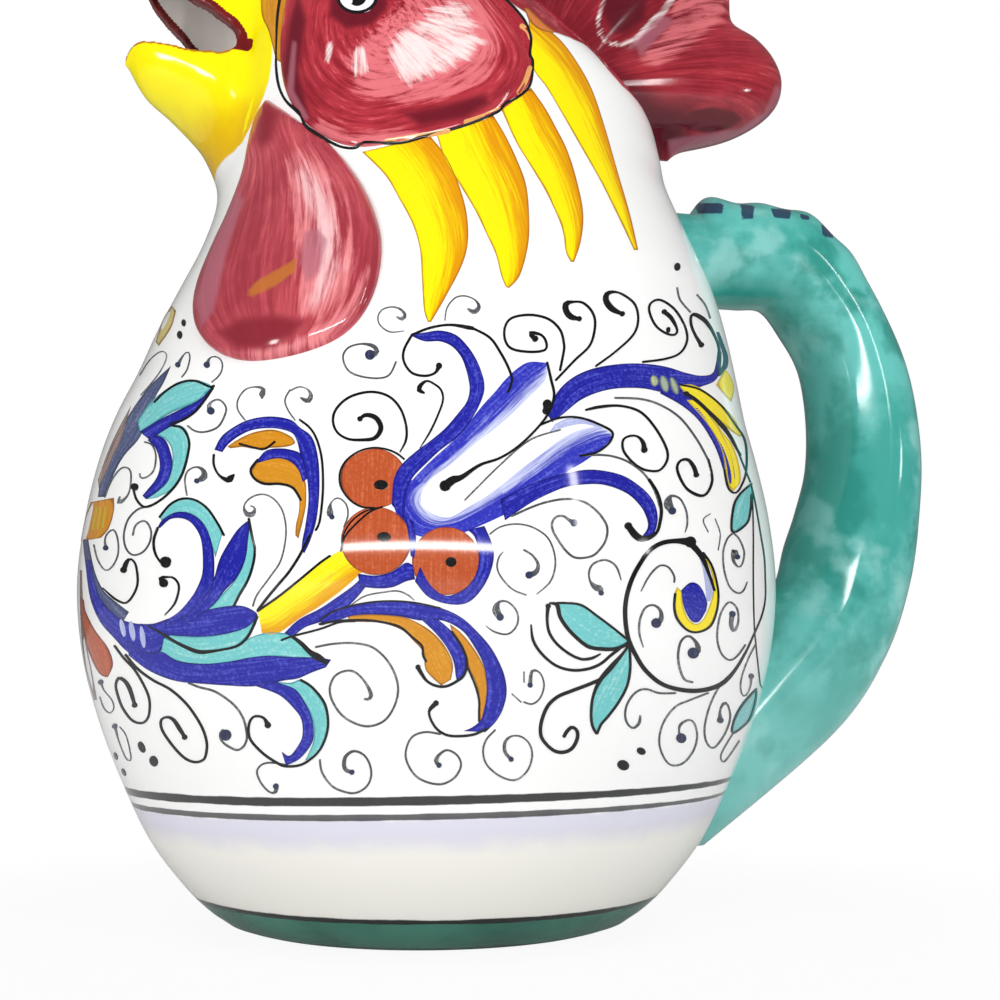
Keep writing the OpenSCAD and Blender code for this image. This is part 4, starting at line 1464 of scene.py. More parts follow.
@dataclass(frozen=True)
class Blade:
    """A broad leaf or ribbon, as the pixels of its two edges. The first edge has the ink's first colour."""

    first: tuple[Pixel, ...]
    second: tuple[Pixel, ...]

    def edges(self, step: float) -> tuple[Array, Array]:
        """Return the two edges with as many points on each."""
        first, second = (even_run(np.array(edge, float), step / 4) for edge in (self.first, self.second))
        count = max(3, int(max(len(first), len(second)) / 4) + 1)
        places = np.linspace(0, 1, count)
        return tuple(
            np.stack([np.interp(places, np.linspace(0, 1, len(edge)), column) for column in edge.T], 1)
            for edge in (first, second))


@dataclass(frozen=True)
class Disc:
    """A round or oval dab, in pixels. The lean turns its upright axis clockwise, in degrees."""

    x: float
    y: float
    half_w: float
    half_h: float
    lean: float = 0.0

    def edges(self, step: float) -> tuple[Array, Array]:
        """Return the dab's left and right edges from top to bottom."""
        turns = np.linspace(0, math.pi, max(7, int(math.pi * self.half_h / step)))
        down, side = -self.half_h * np.cos(turns), self.half_w * np.sin(turns)
        lean = math.radians(self.lean)
        turned = [np.stack([self.x + x * math.cos(lean) - down * math.sin(lean),
                            self.y + x * math.sin(lean) + down * math.cos(lean)], 1) for x in (-side, side)]
        return turned[0], turned[1]


Mark = Stroke | Blade | Disc


def relief(z: Array, turn: Array) -> Array:
    """Return how far the raised pads stand off the skin at places on it."""
    return np.maximum(WATTLE.lift_at(z, turn), CHEEK.lift_at(z, turn))


@dataclass(frozen=True)
class Film:
    """How paint is laid: its height above the glaze under it, and how deep its buried side lies."""

    lift: float
    raised: bool = False
    buried: float = 0.3
    px_mm: float = 0.235
    spread: float = 0.0
    step_px: float = 2.8
    quick_step_px: float = 7.0
    column_mm: float = 1.8

    def surface(self, z: Array, turn: Array, lift: float) -> Array:
        """Return points over the skin, or over the raised pads on it."""
        over = relief(z, turn) if self.raised else 0 * z
        return SKIN.point(z, turn, over + lift)

    def places(self, pixels: Array) -> tuple[Array, Array]:
        """Return where on the skin paint lies that is seen at pixels."""
        z, turn = pixels_on_skin(pixels)
        aim = pixels.copy()
        for _ in range(2 if self.raised else 0):
            aim = aim + pixels - VIEW.pixels_of(self.surface(z, turn, self.lift))
            z, turn = pixels_on_skin(aim)
        return z, turn

    def clay(self, mark: Mark, seed: int) -> Clay:
        """Build one mark as a closed film.

        Args:
            mark: The mark.
            seed: The mark's number, which sets its streaks and lifts it a hair over the one before.

        Returns:
            The film, with its paint values and its normals.
        """
        first, second = mark.edges(self.step_px)
        apart = first - second
        apart *= self.spread / np.maximum(np.linalg.norm(apart, axis=1, keepdims=True), 4.0)
        first, second = first + apart, second - apart
        wide = float(np.linalg.norm(first - second, axis=1).max()) * self.px_mm
        cuts = max(1, math.ceil(wide / self.column_mm))
        share = np.linspace(0, 1, cuts + 1)
        pixels = first[:, None] * (1 - share[:, None]) + second[:, None] * share[:, None]
        z, turn = self.places(pixels)
        lift = self.lift + 0.001 * seed
        top = self.surface(z, turn, lift)
        low = self.surface(z[:, [0, -1]], turn[:, [0, -1]], -self.buried)
        tilt = np.cross(self.surface(z, turn + 0.004, lift) - self.surface(z, turn - 0.004, lift),
                        self.surface(z + 0.3, turn, lift) - self.surface(z - 0.3, turn, lift))
        tilt /= np.linalg.norm(tilt, axis=-1, keepdims=True)
        rows = len(first)
        grid = np.arange(rows * (cuts + 1)).reshape(rows, cuts + 1)
        base = grid.size + np.arange(rows * 2).reshape(rows, 2)
        faces = []
        for a, b in zip(range(rows - 1), range(1, rows)):
            faces += [(grid[a, j], grid[b, j], grid[b, j + 1], grid[a, j + 1]) for j in range(cuts)]
            faces += [(grid[a, 0], base[a, 0], base[b, 0], grid[b, 0]),
                      (grid[a, -1], grid[b, -1], base[b, 1], base[a, 1]),
                      (base[b, 0], base[a, 0], base[a, 1], base[b, 1])]
        faces += [(*grid[0], base[0, 1], base[0, 0]), (*grid[-1][::-1], base[-1, 0], base[-1, 1])]
        loop = np.vstack([first, second[::-1]])
        after = np.roll(loop, -1, 0)
        turned = (loop[:, 0] * after[:, 1] - after[:, 0] * loop[:, 1]).sum() > 0
        faces = [tuple(int(corner) for corner in (face[::-1] if turned else face)) for face in faces]
        spans = np.linalg.norm(first - second, axis=1)[:, None] * self.px_mm
        middle = (first + second) / 2
        gone = np.concatenate([[0], np.cumsum(np.linalg.norm(np.diff(middle, axis=0), axis=1))]) * self.px_mm
        ends = np.minimum(gone, gone[-1] - gone)[:, None]
        values = {"brush_along": gone[:, None] + 0 * z, "brush_across": (share - 0.5) * spans,
                  "brush_seed": 7.3 * seed + 0 * z, "share": share + 0 * z,
                  "edge_mm": np.minimum(np.minimum(share, 1 - share) * spans, ends * 1.5)}
        values = {name: np.concatenate([value.ravel(), value[:, [0, -1]].ravel()])
                  for name, value in values.items()}
        normals = np.vstack([tilt.reshape(-1, 3), tilt[:, [0, -1]].reshape(-1, 3)])
        return Clay(np.vstack([top.reshape(-1, 3), low.reshape(-1, 3)]), faces, values, normals=normals)


BLACK_LINES = (
    Stroke(((404, 459), (396, 453), (385, 449), (372, 448), (358, 452), (346, 461), (340, 473), (341, 487),
        (350, 500), (362, 507), (374, 508)), 2.0),
    Stroke(((342, 550, 1), (344, 534), (352, 521), (364, 512), (376, 508, 1)), 1.6),
    Stroke(((686, 394, 4), (696, 400, 3), (709, 411), (724, 426), (734, 442), (742, 462), (750, 482)), 1.6),
    Stroke(((412, 335), (404, 350), (404, 362), (412, 373), (425, 376), (435, 373), (439, 366, 5)), 2.4),
    Stroke(((412, 335), (430, 328), (450, 325), (470, 328, 4), (474, 329, 2.4), (490, 338), (500, 352),
        (508, 367), (512, 380), (508, 392)), 2.4),
    Stroke(((400, 452, 1.2), (406, 440), (406, 425), (400, 408), (388, 396), (370, 392), (350, 397),
        (337, 408), (333, 420), (337, 432), (348, 439), (362, 440, 3), (375, 438, 4), (381, 428, 5),
        (376, 418, 5), (366, 415, 4), (360, 419, 3)), 2.4),
    Stroke(((420, 448, 0.8), (430, 432), (438, 415), (443, 400), (441, 390), (434, 384), (427, 381),
        (421, 385, 4), (419, 390, 5), (424, 393, 2)), 2.0),
    Stroke(((300, 420), (310, 428), (317, 440), (322, 460), (323, 490), (320, 520), (316, 530)), 2.2),
    Stroke(((560, 370), (563, 355), (564, 345), (560, 330), (548, 319), (530, 315), (512, 318), (505, 327),
        (505, 340), (512, 349), (530, 352), (545, 350), (546, 342), (541, 335), (530, 333, 4), (535, 339, 5)),
        2.4),
    Stroke(((556, 380), (575, 360), (590, 345), (595, 325), (592, 312), (583, 303), (573, 302), (566, 304, 6),
        (566, 311, 6), (571, 317, 6), (579, 319, 3)), 2.4),
    Stroke(((596, 366), (615, 352), (633, 335), (638, 320), (635, 305), (625, 296), (615, 292), (607, 294, 5),
        (606, 301, 6), (612, 309, 6), (622, 314, 3)), 2.2),
    Stroke(((643, 362), (665, 359), (680, 353), (687, 340), (684, 325), (674, 309), (660, 300), (651, 303),
        (649, 311), (655, 325), (665, 333), (674, 335), (677, 330), (671, 318, 4), (664, 312, 4)), 2.2),
    Stroke(((719, 375), (719, 350), (714, 335), (706, 322, 4), (696, 315, 4), (691, 316), (691, 325),
        (695, 335), (701, 345, 4)), 2.6),
    Stroke(((214, 455), (214, 465), (219, 475), (227, 480, 5), (230, 479, 7), (234, 475, 2)), 2.2),
    Stroke(((160, 517), (170, 505), (182, 499), (195, 500), (207, 508), (217, 522), (224, 535)), 2.2),
    Stroke(((158, 528), (154, 540), (155, 552), (160, 561), (166, 563, 8)), 2.4),
    Stroke(((249, 519), (252, 535), (255, 550), (253, 565), (248, 580), (240, 594), (234, 606)), 2.4),
    Stroke(((310, 535), (300, 555), (289, 572), (278, 585), (268, 597), (258, 610)), 2.6),
    Stroke(((155, 402), (165, 392), (180, 383), (195, 381), (210, 387), (214, 386)), 2.2),
    Stroke(((213, 388), (205, 400), (195, 412), (183, 420), (170, 425), (182, 428), (189, 440), (188, 455),
        (182, 475), (172, 490), (158, 502), (145, 507), (137, 500), (134, 490), (135, 487, 6)), 2.2),
    Stroke(((149, 626, 1.5), (163, 634), (178, 643, 3), (193, 650, 4), (203, 652, 4), (220, 650), (237, 646),
        (247, 638), (254, 625), (257, 617)), 2.6),
    Stroke(((301, 680), (312, 687), (324, 702), (328, 718), (327, 733), (321, 748), (312, 758), (300, 765),
        (285, 766), (276, 762), (264, 754), (253, 743), (249, 735), (249, 725), (252, 718), (257, 716),
        (264, 718), (268, 725, 5)), 2.4),
    Stroke(((115, 646), (124, 658), (135, 670), (144, 685), (149, 697), (150, 708), (148, 718), (142, 723),
        (132, 720), (123, 708), (118, 695), (116, 685), (119, 678, 3), (125, 681, 3.5), (130, 689, 4),
        (135, 705, 3)), 2.2),
    Stroke(((126, 655), (137, 668), (153, 680), (170, 689), (185, 702), (195, 715), (203, 729), (207, 743),
        (206, 755), (203, 760), (195, 762), (185, 758), (174, 747), (164, 733), (161, 725), (162, 719),
        (168, 717, 2.5), (174, 720, 3.5), (180, 729, 4), (185, 737, 3)), 2.4),
    Stroke(((164, 583, 7), (161, 578, 4), (168, 577), (174, 578), (179, 585), (178, 595), (174, 605),
        (165, 615, 0.8)), 2.0),
    Stroke(((124, 570, 5), (127, 562, 4), (131, 559), (136, 565), (138, 580), (136, 590), (130, 600),
        (124, 603), (114, 598), (103, 588, 1)), 2.0),
    Stroke(((258, 611), (278, 597), (297, 582), (320, 563), (330, 556)), 2.4),
    Stroke(((282, 640), (293, 636), (320, 629), (340, 622), (355, 621)), 2.2),
    Stroke(((293, 637), (301, 643, 4), (310, 652, 5), (318, 657, 7), (326, 662, 4)), 3.0),
    Stroke(((320, 624), (337, 621), (362, 620), (382, 622), (400, 627), (412, 637), (422, 646), (423, 655),
        (426, 661)), 2.4),
    Stroke(((320, 620), (332, 612), (350, 606), (372, 602), (395, 601), (417, 603), (440, 608)), 1.8),
    Stroke(((452, 632), (462, 647), (467, 662), (464, 675), (457, 681), (447, 686), (437, 686), (427, 681),
        (420, 671, 4), (418, 667, 4)), 2.6),
    Stroke(((466, 664), (475, 685), (479, 700), (479, 712), (479, 721)), 2.0),
    Stroke(((487, 728), (475, 734), (460, 736), (447, 735), (437, 729), (431, 720), (429, 712), (431, 708, 4),
        (436, 703, 4.5)), 2.4),
    Stroke(((548, 606, 4), (547, 619), (549, 632), (556, 643), (568, 653), (581, 659), (592, 658),
        (600, 654, 1.5)), 2.8),
    Stroke(((531, 625, 1.5), (533, 640), (541, 653), (555, 665), (571, 670), (587, 669), (600, 664),
        (611, 655), (619, 649)), 2.8),
    Stroke(((601, 679), (587, 685), (571, 691), (557, 697), (547, 707), (541, 723), (541, 736), (547, 745),
        (555, 751), (564, 752), (572, 748), (577, 739), (577, 731), (572, 727), (567, 731), (564, 736)), 3.4),
    Stroke(((550, 603, 2), (557, 605, 4), (560, 617), (568, 629), (579, 640), (589, 647), (603, 649, 4),
        (613, 649), (621, 647), (629, 642)), 3.6),
    Stroke(((557, 603), (565, 603), (581, 605), (597, 616), (613, 628), (629, 641)), 2.4),
    Stroke(((629, 644), (623, 653), (611, 667, 5), (600, 680, 4), (593, 696), (591, 712), (592, 725),
        (596, 733)), 2.6),
    Stroke(((629, 645), (630, 667), (627, 685), (619, 701), (608, 716), (601, 724), (597, 733)), 2.6),
    Stroke(((690, 542, 9), (677, 541, 5), (662, 543, 4.5), (649, 551), (639, 565), (631, 581), (626, 599),
        (625, 617), (628, 638), (636, 656), (646, 671), (662, 684), (683, 690), (703, 690), (721, 684),
        (734, 671, 3), (745, 653, 2), (752, 638, 1.6), (761, 617, 1.4), (765, 599, 1.2), (765, 578, 1.2),
        (764, 557, 1.2), (760, 532, 1.2), (755, 503, 1.2), (751, 485, 1.2)), 4.2),
    Stroke(((690, 543, 6), (701, 556, 5), (709, 575, 3), (714, 590, 2.4)), 4.0),
    Stroke(((752, 490), (753, 532), (753, 583), (754, 625), (756, 648), (758, 667), (760, 684), (762, 688)),
        1.0),
    Stroke(((675, 594), (674, 607), (677, 619), (687, 630), (698, 632), (710, 626), (716, 612), (718, 596),
        (716, 581), (711, 565), (703, 553)), 2.2),
    Stroke(((708, 460), (712, 480), (706, 494), (697, 495, 3), (685, 487), (677, 470), (680, 461),
        (688, 460, 3), (694, 468, 4), (696, 475, 4)), 2.4),
    Stroke(((649, 480), (657, 493), (661, 508), (660, 521), (656, 533), (644, 539, 6), (636, 536, 7),
        (628, 526, 6)), 3.0),
    Stroke(((586, 410), (600, 407, 3), (620, 406), (640, 412), (655, 428), (666, 448), (667, 460), (660, 470),
        (650, 471), (640, 468), (630, 460), (623, 450), (623, 440), (630, 436), (638, 437), (643, 443, 4),
        (644, 450, 5)), 2.2),
    Stroke(((685, 393), (700, 405), (715, 420), (728, 435), (740, 455)), 2.2),
    Stroke(((540, 425), (560, 418), (580, 418), (600, 425), (612, 432), (611, 440), (605, 447), (595, 453),
        (580, 456)), 2.2),
    Stroke(((680, 385), (700, 390), (720, 405), (735, 425), (745, 442), (746, 470), (741, 486), (735, 493),
        (728, 488), (724, 470)), 1.8),
    Stroke(((751, 484), (739, 495), (733, 508), (732, 532), (746, 524), (750, 511), (751, 495)), 2.0),
    Stroke(((756, 689), (742, 705), (734, 720), (732, 733), (742, 727), (750, 718), (755, 702), (756, 691)),
        1.8),
    Stroke(((445, 486, 9), (453, 480, 8), (462, 477, 5), (480, 465, 3), (500, 458), (520, 445), (540, 425),
        (550, 410), (554, 395), (551, 380), (547, 363)), 2.4),
    Stroke(((547, 404, 7), (546, 411, 6)), 6.0),
    Stroke(((240, 444), (255, 448), (265, 449), (275, 442)), 2.0),
    Stroke(((258, 460), (251, 470), (255, 479), (265, 484), (280, 484), (293, 488), (301, 500)), 2.4),
    Stroke(((341, 551), (345, 537), (355, 525), (370, 512), (382, 507)), 1.8),
)
GREY_LINES = (
    Stroke(((404, 331, 0.8), (390, 332), (380, 325), (378, 317), (382, 310), (391, 307), (400, 309, 2.2),
        (405, 315, 3.5), (402, 319, 4), (397, 317, 1.5)), 1.4),
    Stroke(((396, 362), (388, 376), (370, 378), (350, 372), (343, 358), (348, 348), (361, 344), (373, 346, 4),
        (377, 352, 5), (370, 355, 8)), 1.8),
    Stroke(((445, 320), (447, 308), (455, 298), (465, 296), (475, 300), (479, 307, 4), (474, 312, 5),
        (468, 309, 2)), 1.4),
    Stroke(((344, 527), (348, 515), (346, 504), (338, 498), (331, 503), (330, 513, 7), (332, 517, 3)), 1.6),
    Stroke(((290, 391), (299, 387), (307, 389), (311, 395, 4), (308, 401, 5), (301, 398, 2)), 1.4),
    Stroke(((141, 395), (150, 385), (160, 372), (166, 360), (166, 353), (160, 352), (150, 360), (140, 375)),
        1.2),
    Stroke(((178, 365, 4), (183, 356), (188, 352), (190, 358), (187, 370), (182, 377)), 1.4),
    Stroke(((207, 365, 5), (210, 358), (217, 357), (222, 362), (222, 370), (218, 377), (212, 382)), 1.4),
    Stroke(((245, 420), (238, 410), (238, 400), (245, 390), (255, 387), (263, 389, 4), (262, 395, 6),
        (262, 398, 2)), 1.4),
    Stroke(((295, 420), (288, 410), (285, 400), (290, 390)), 1.4),
    Stroke(((188, 426), (195, 431), (205, 432), (218, 427), (225, 415), (226, 407), (220, 400), (213, 401),
        (209, 406, 4), (211, 411, 6)), 1.8),
    Stroke(((187, 495), (185, 480), (188, 471), (196, 467), (203, 470, 4), (204, 477, 7), (197, 481, 3)),
        1.6),
    Stroke(((253, 606), (257, 595), (270, 577), (281, 560), (286, 535), (284, 515), (277, 502), (267, 495),
        (257, 495), (248, 500), (244, 507), (247, 514, 5), (253, 514, 5), (255, 508), (251, 506)), 1.6),
    Stroke(((105, 497), (112, 480), (122, 468), (130, 470), (131, 482), (128, 495), (119, 503, 4),
        (120, 497)), 1.6),
    Stroke(((145, 442), (152, 445), (156, 455), (154, 470), (147, 477), (141, 478), (140, 474)), 1.6),
    Stroke(((133, 535), (136, 525), (145, 521), (151, 530), (150, 542), (143, 552), (133, 555), (126, 548),
        (124, 535), (128, 520), (137, 510), (145, 507)), 1.8),
    Stroke(((106, 548, 3), (105, 540), (108, 533), (114, 530), (118, 540), (118, 555), (112, 567), (105, 570),
        (98, 560), (94, 545)), 1.6),
    Stroke(((189, 683), (199, 687), (214, 691), (227, 699), (237, 708), (244, 720), (247, 735), (246, 742),
        (243, 747), (237, 750), (228, 746), (222, 741), (220, 735), (223, 731, 5), (226, 735, 9)), 2.2),
    Stroke(((286, 765), (276, 763), (266, 763), (260, 766), (257, 772), (260, 781), (266, 789), (272, 793),
        (276, 791, 4), (276, 786, 4.5)), 1.8),
    Stroke(((101, 682, 3), (104, 690), (112, 700), (114, 708), (110, 713), (104, 708), (100, 697)), 1.2),
    Stroke(((115, 726, 3), (119, 741), (126, 758), (131, 760), (130, 750), (126, 735), (120, 727)), 1.2),
    Stroke(((316, 647), (332, 644), (352, 643), (372, 647), (387, 660), (396, 677), (398, 692), (394, 707),
        (385, 720), (371, 726), (357, 724), (342, 715), (332, 700), (330, 687), (335, 676), (345, 671),
        (355, 672), (365, 682), (371, 694, 4), (369, 699, 3), (365, 699)), 2.2),
    Stroke(((320, 760), (322, 772), (331, 785), (342, 791), (355, 793), (366, 787), (371, 777), (370, 765),
        (364, 755), (354, 751, 2.5), (346, 756, 3.5), (344, 764, 4), (346, 770, 4), (352, 772, 3.5)), 2.0),
    Stroke(((440, 734), (425, 732), (412, 737), (406, 750), (407, 762), (415, 775), (427, 782), (442, 784),
        (455, 777), (461, 765), (457, 755), (447, 750), (439, 755, 3), (436, 761, 4.5), (439, 765, 3)), 2.0),
    Stroke(((495, 730), (486, 740), (483, 752), (487, 765), (500, 776), (515, 780), (527, 771), (532, 757),
        (530, 745), (522, 737), (512, 736), (505, 742, 3), (505, 752, 3.5), (511, 759, 3)), 1.8),
    Stroke(((490, 534), (500, 527), (515, 524), (532, 527), (547, 537), (554, 552), (555, 567), (550, 582),
        (537, 594, 1)), 1.6),
    Stroke(((526, 595), (512, 589), (501, 577), (497, 567), (499, 557), (503, 552, 1)), 1.6),
    Stroke(((524, 550), (532, 555), (538, 564, 3), (536, 572, 5), (529, 575, 6)), 2.0),
    Stroke(((512, 516), (532, 507), (547, 502), (565, 499), (581, 501), (592, 507), (601, 516), (607, 527),
        (606, 539), (601, 548), (592, 556), (577, 558), (568, 553), (560, 543), (553, 531), (552, 523),
        (556, 517), (563, 516), (569, 520, 3), (574, 523, 6)), 2.2),
    Stroke(((500, 617, 6), (496, 610, 8), (499, 602, 3), (508, 602), (517, 612), (517, 625), (508, 634),
        (495, 632), (486, 626, 0.8)), 1.8),
    Stroke(((524, 672), (524, 682)), 1.4),
    Stroke(((530, 685, 4), (532, 671, 3), (540, 673), (544, 685), (540, 698), (532, 704), (524, 702)), 1.6),
    Stroke(((512, 694), (521, 702)), 1.4),
    Stroke(((621, 580, 1), (617, 568), (611, 562), (603, 560), (593, 564), (589, 572), (590, 581),
        (595, 587, 6), (600, 589, 7), (601, 593, 3)), 2.0),
    Stroke(((350, 606, 0.8), (365, 596), (385, 592), (398, 591), (408, 595), (414, 600, 0.8)), 1.6),
    Stroke(((615, 398), (640, 399), (660, 405), (680, 418), (697, 440), (708, 460)), 2.0),
    Stroke(((580, 456), (600, 455), (615, 457), (630, 463), (645, 475), (655, 492), (660, 508)), 2.0),
    Stroke(((465, 500), (500, 465), (530, 440), (560, 430)), 1.6),
    Stroke(((677, 288), (680, 300), (690, 312)), 1.8),
    Stroke(((697, 295), (705, 305), (710, 318)), 1.8),
    Stroke(((672, 511, 6), (668, 504, 9), (671, 496, 3), (680, 499), (686, 511), (687, 524), (685, 532, 1)),
        1.8),
    Stroke(((710, 514), (703, 520), (708, 532)), 1.0),
    Stroke(((715, 519), (720, 534), (718, 550)), 1.0),
    Stroke(((641, 591, 1), (649, 576), (659, 566), (668, 567), (674, 576), (674, 582)), 1.8),
    Stroke(((643, 647, 1), (639, 632), (640, 619), (645, 608), (653, 605), (660, 610, 3), (661, 619, 5),
        (656, 623, 8)), 2.0),
    Stroke(((692, 682), (684, 679), (679, 666), (678, 653), (681, 641), (688, 636), (695, 641, 3),
        (698, 649, 6), (693, 653, 9)), 2.2),
    Stroke(((733, 533), (727, 539), (723, 552), (724, 570), (729, 586), (737, 593), (743, 591),
        (747, 582, 1)), 1.6),
    Stroke(((733, 533), (739, 539), (744, 552), (742, 564), (738, 567), (733, 560, 3), (734, 550, 5),
        (737, 557, 4)), 1.6),
    Stroke(((745, 645), (737, 656), (729, 660), (721, 653), (717, 638), (719, 619), (724, 607), (730, 602),
        (737, 609), (738, 622), (734, 631, 3), (731, 625, 4), (732, 614, 5)), 1.8),
    Stroke(((755, 645), (747, 661), (741, 679), (741, 692), (745, 696), (750, 687), (751, 676, 3)), 1.5),
    Stroke(((733, 733), (721, 754), (723, 762), (729, 756), (739, 741)), 1.5),
    Stroke(((734, 671), (721, 684), (711, 702), (705, 723), (705, 738), (710, 747), (716, 746), (725, 733),
        (730, 718), (728, 706), (724, 703, 3), (720, 710), (720, 720, 5)), 1.8),
    Stroke(((708, 693), (690, 700), (675, 707), (663, 723), (659, 741), (663, 756), (671, 765), (683, 763),
        (693, 751), (697, 736), (694, 723), (688, 720), (680, 725, 2.5), (679, 733), (681, 738, 8)), 1.8),
    Stroke(((675, 693), (659, 693), (646, 689), (636, 692), (628, 702), (625, 713), (627, 723), (633, 728),
        (639, 723, 3), (640, 716)), 2.0),
)
DOTS = (
    Disc(142, 747, 3, 6, -25), Disc(154, 761, 4, 5.5, -20), Disc(116, 756, 1.5, 4, -20),
    Disc(124, 772, 1.5, 4, -25), Disc(623, 765, 6, 5, 20), Disc(641, 751, 4.5, 3.5, 25),
    Disc(381, 485, 7, 5), Disc(384, 537, 7, 5), Disc(451, 562, 5.5, 5), Disc(166, 561, 5.5, 4.5),
    Disc(180, 335, 2.5, 4), Disc(184, 323, 2, 3.5), Disc(677, 267, 3, 4), Disc(668, 330, 2, 3),
)


def curl_ends(strokes: tuple[Stroke, ...]) -> tuple[Disc, ...]:
    """Return the round dabs in which curls end, wherever a stroke swells towards its end."""
    ends = [stroke.points[end] for stroke in strokes for end in (0, -1)]
    dabs = [(end[0], end[1], max(2.6, end[2] * 0.62)) for end in ends if len(end) > 2 and end[2] >= 3]
    return tuple(Disc(x, y, half, half) for x, y, half in dabs)


COBALT_BLADES = (
    Blade(((412, 335), (425, 333), (440, 331), (455, 335), (466, 345), (475, 358), (481, 372), (484, 385),
        (482, 398), (472, 418), (458, 436), (440, 450), (425, 464), (412, 478), (406, 495), (404, 520)),
        ((412, 336), (425, 341), (440, 341), (452, 346), (461, 356), (466, 368), (469, 380), (470, 390),
        (467, 402), (458, 414), (446, 428), (432, 440), (416, 452), (402, 465), (394, 480), (392, 505))),
    Blade(((500, 500), (530, 485), (560, 475), (590, 470), (620, 475), (640, 487), (652, 500), (657, 515),
        (655, 530), (648, 539)), ((505, 520), (530, 503), (552, 492), (570, 486), (600, 484), (625, 492),
        (640, 505), (647, 518), (648, 528), (642, 537))),
    Blade(((548, 415), (556, 395), (570, 380), (590, 370), (615, 365), (640, 364), (665, 367), (685, 373),
        (700, 376), (712, 374), (716, 365), (718, 350)), ((552, 422), (565, 412), (580, 400), (598, 392),
        (618, 388), (642, 388), (665, 392), (685, 390), (702, 386), (715, 380), (720, 368), (721, 352))),
    Blade(((665, 385), (685, 393), (700, 405), (712, 420), (722, 436), (730, 455), (734, 475), (733, 484)),
        ((660, 393), (680, 404), (695, 416), (706, 430), (716, 448), (722, 465), (725, 476), (726, 485))),
    Blade(((140, 432), (160, 420), (180, 410), (200, 400), (212, 387)), ((150, 440), (168, 428), (184, 420),
        (198, 410), (212, 388))),
    Blade(((155, 435), (165, 440), (171, 455), (172, 468), (167, 482), (155, 493), (146, 499)), ((148, 440),
        (156, 448), (160, 460), (160, 470), (156, 480), (148, 490), (143, 496))),
    Blade(((158, 528), (163, 520), (175, 513), (188, 513), (200, 520), (208, 532), (213, 550), (214, 570),
        (212, 590), (204, 606), (190, 620), (176, 632), (160, 640)), ((160, 528), (170, 519), (182, 518),
        (192, 523), (200, 535), (203, 550), (203, 572), (198, 587), (190, 600), (178, 613), (164, 621),
        (152, 624), (140, 624))),
    Blade(((250, 522), (248, 540), (245, 560), (237, 577), (224, 591), (216, 602), (205, 612), (190, 622)),
        ((248, 521), (238, 530), (228, 545), (220, 560), (214, 580), (206, 596), (196, 608), (180, 618))),
    Blade(((170, 622), (195, 614), (212, 609), (232, 606), (245, 607), (256, 613), (258, 619)), ((160, 634),
        (186, 636), (207, 636), (228, 633), (245, 628), (253, 622), (257, 619))),
    Blade(((91, 560), (94, 580), (101, 600), (112, 612), (122, 620), (137, 624), (153, 624), (168, 619)),
        ((86, 560), (88, 581), (92, 602), (101, 622), (114, 637), (129, 652), (146, 656), (162, 650))),
    Blade(((127, 640), (145, 652), (162, 652), (178, 661), (203, 664), (228, 662), (249, 658), (268, 656),
        (289, 657), (318, 658), (331, 660)), ((129, 655), (149, 670), (174, 680), (199, 683), (228, 685),
        (250, 686), (268, 684), (284, 680), (298, 678), (312, 672), (326, 667))),
    Blade(((257, 686), (280, 695), (295, 709), (302, 720), (303, 735), (299, 745), (290, 756), (282, 752)),
        ((268, 680), (282, 684), (297, 691), (309, 711), (313, 727), (312, 742), (300, 758), (286, 765))),
    Blade(((285, 633), (299, 620), (320, 609), (338, 597), (352, 587), (362, 578)), ((292, 637), (305, 627),
        (322, 621), (342, 611), (356, 598), (366, 586))),
    Blade(((320, 620), (332, 612), (350, 606), (372, 602), (395, 601), (417, 603), (440, 608), (460, 617),
        (475, 630), (490, 647), (500, 665), (505, 680), (506, 695), (502, 710), (495, 722), (485, 732)),
        ((322, 625), (338, 620), (354, 615), (375, 614), (400, 616), (420, 620), (442, 620), (462, 630),
        (475, 647), (484, 665), (487, 685), (486, 700), (484, 710), (481, 720), (473, 727), (464, 731))),
    Blade(((420, 618), (435, 632), (447, 647), (454, 662), (456, 675), (457, 681)), ((436, 618), (452, 632),
        (462, 647), (467, 662), (464, 675), (458, 682))),
    Blade(((215, 450), (222, 437), (235, 427), (250, 420), (270, 417), (290, 420), (300, 428), (312, 438),
        (318, 460), (319, 490), (316, 520), (310, 540), (304, 553)), ((222, 452), (228, 444), (240, 435),
        (255, 429), (275, 428), (291, 432), (297, 440), (301, 455), (307, 475), (309, 500), (306, 525),
        (303, 540), (302, 550))),
    Blade(((258, 460), (265, 452), (275, 449), (290, 450), (302, 456), (308, 478)), ((257, 463), (267, 460),
        (278, 458), (290, 461), (299, 470), (303, 482))),
    Blade(((358, 574), (376, 576), (392, 572), (406, 563), (413, 566)), ((360, 586), (376, 588), (392, 587),
        (406, 581), (415, 579))),
    Blade(((415, 581), (429, 597), (450, 604), (468, 602), (482, 588), (491, 569), (493, 549), (484, 526)),
        ((420, 567), (431, 586), (447, 596), (466, 588), (477, 572), (479, 553), (475, 537), (468, 530))),
    Blade(((403, 514), (407, 526), (409, 538), (411, 556)), ((413, 522), (415, 532), (416, 542), (414, 558))),
    Blade(((681, 591), (690, 583), (698, 585), (704, 594), (707, 604)), ((682, 600), (686, 612), (692, 621),
        (699, 621), (706, 610))),
)
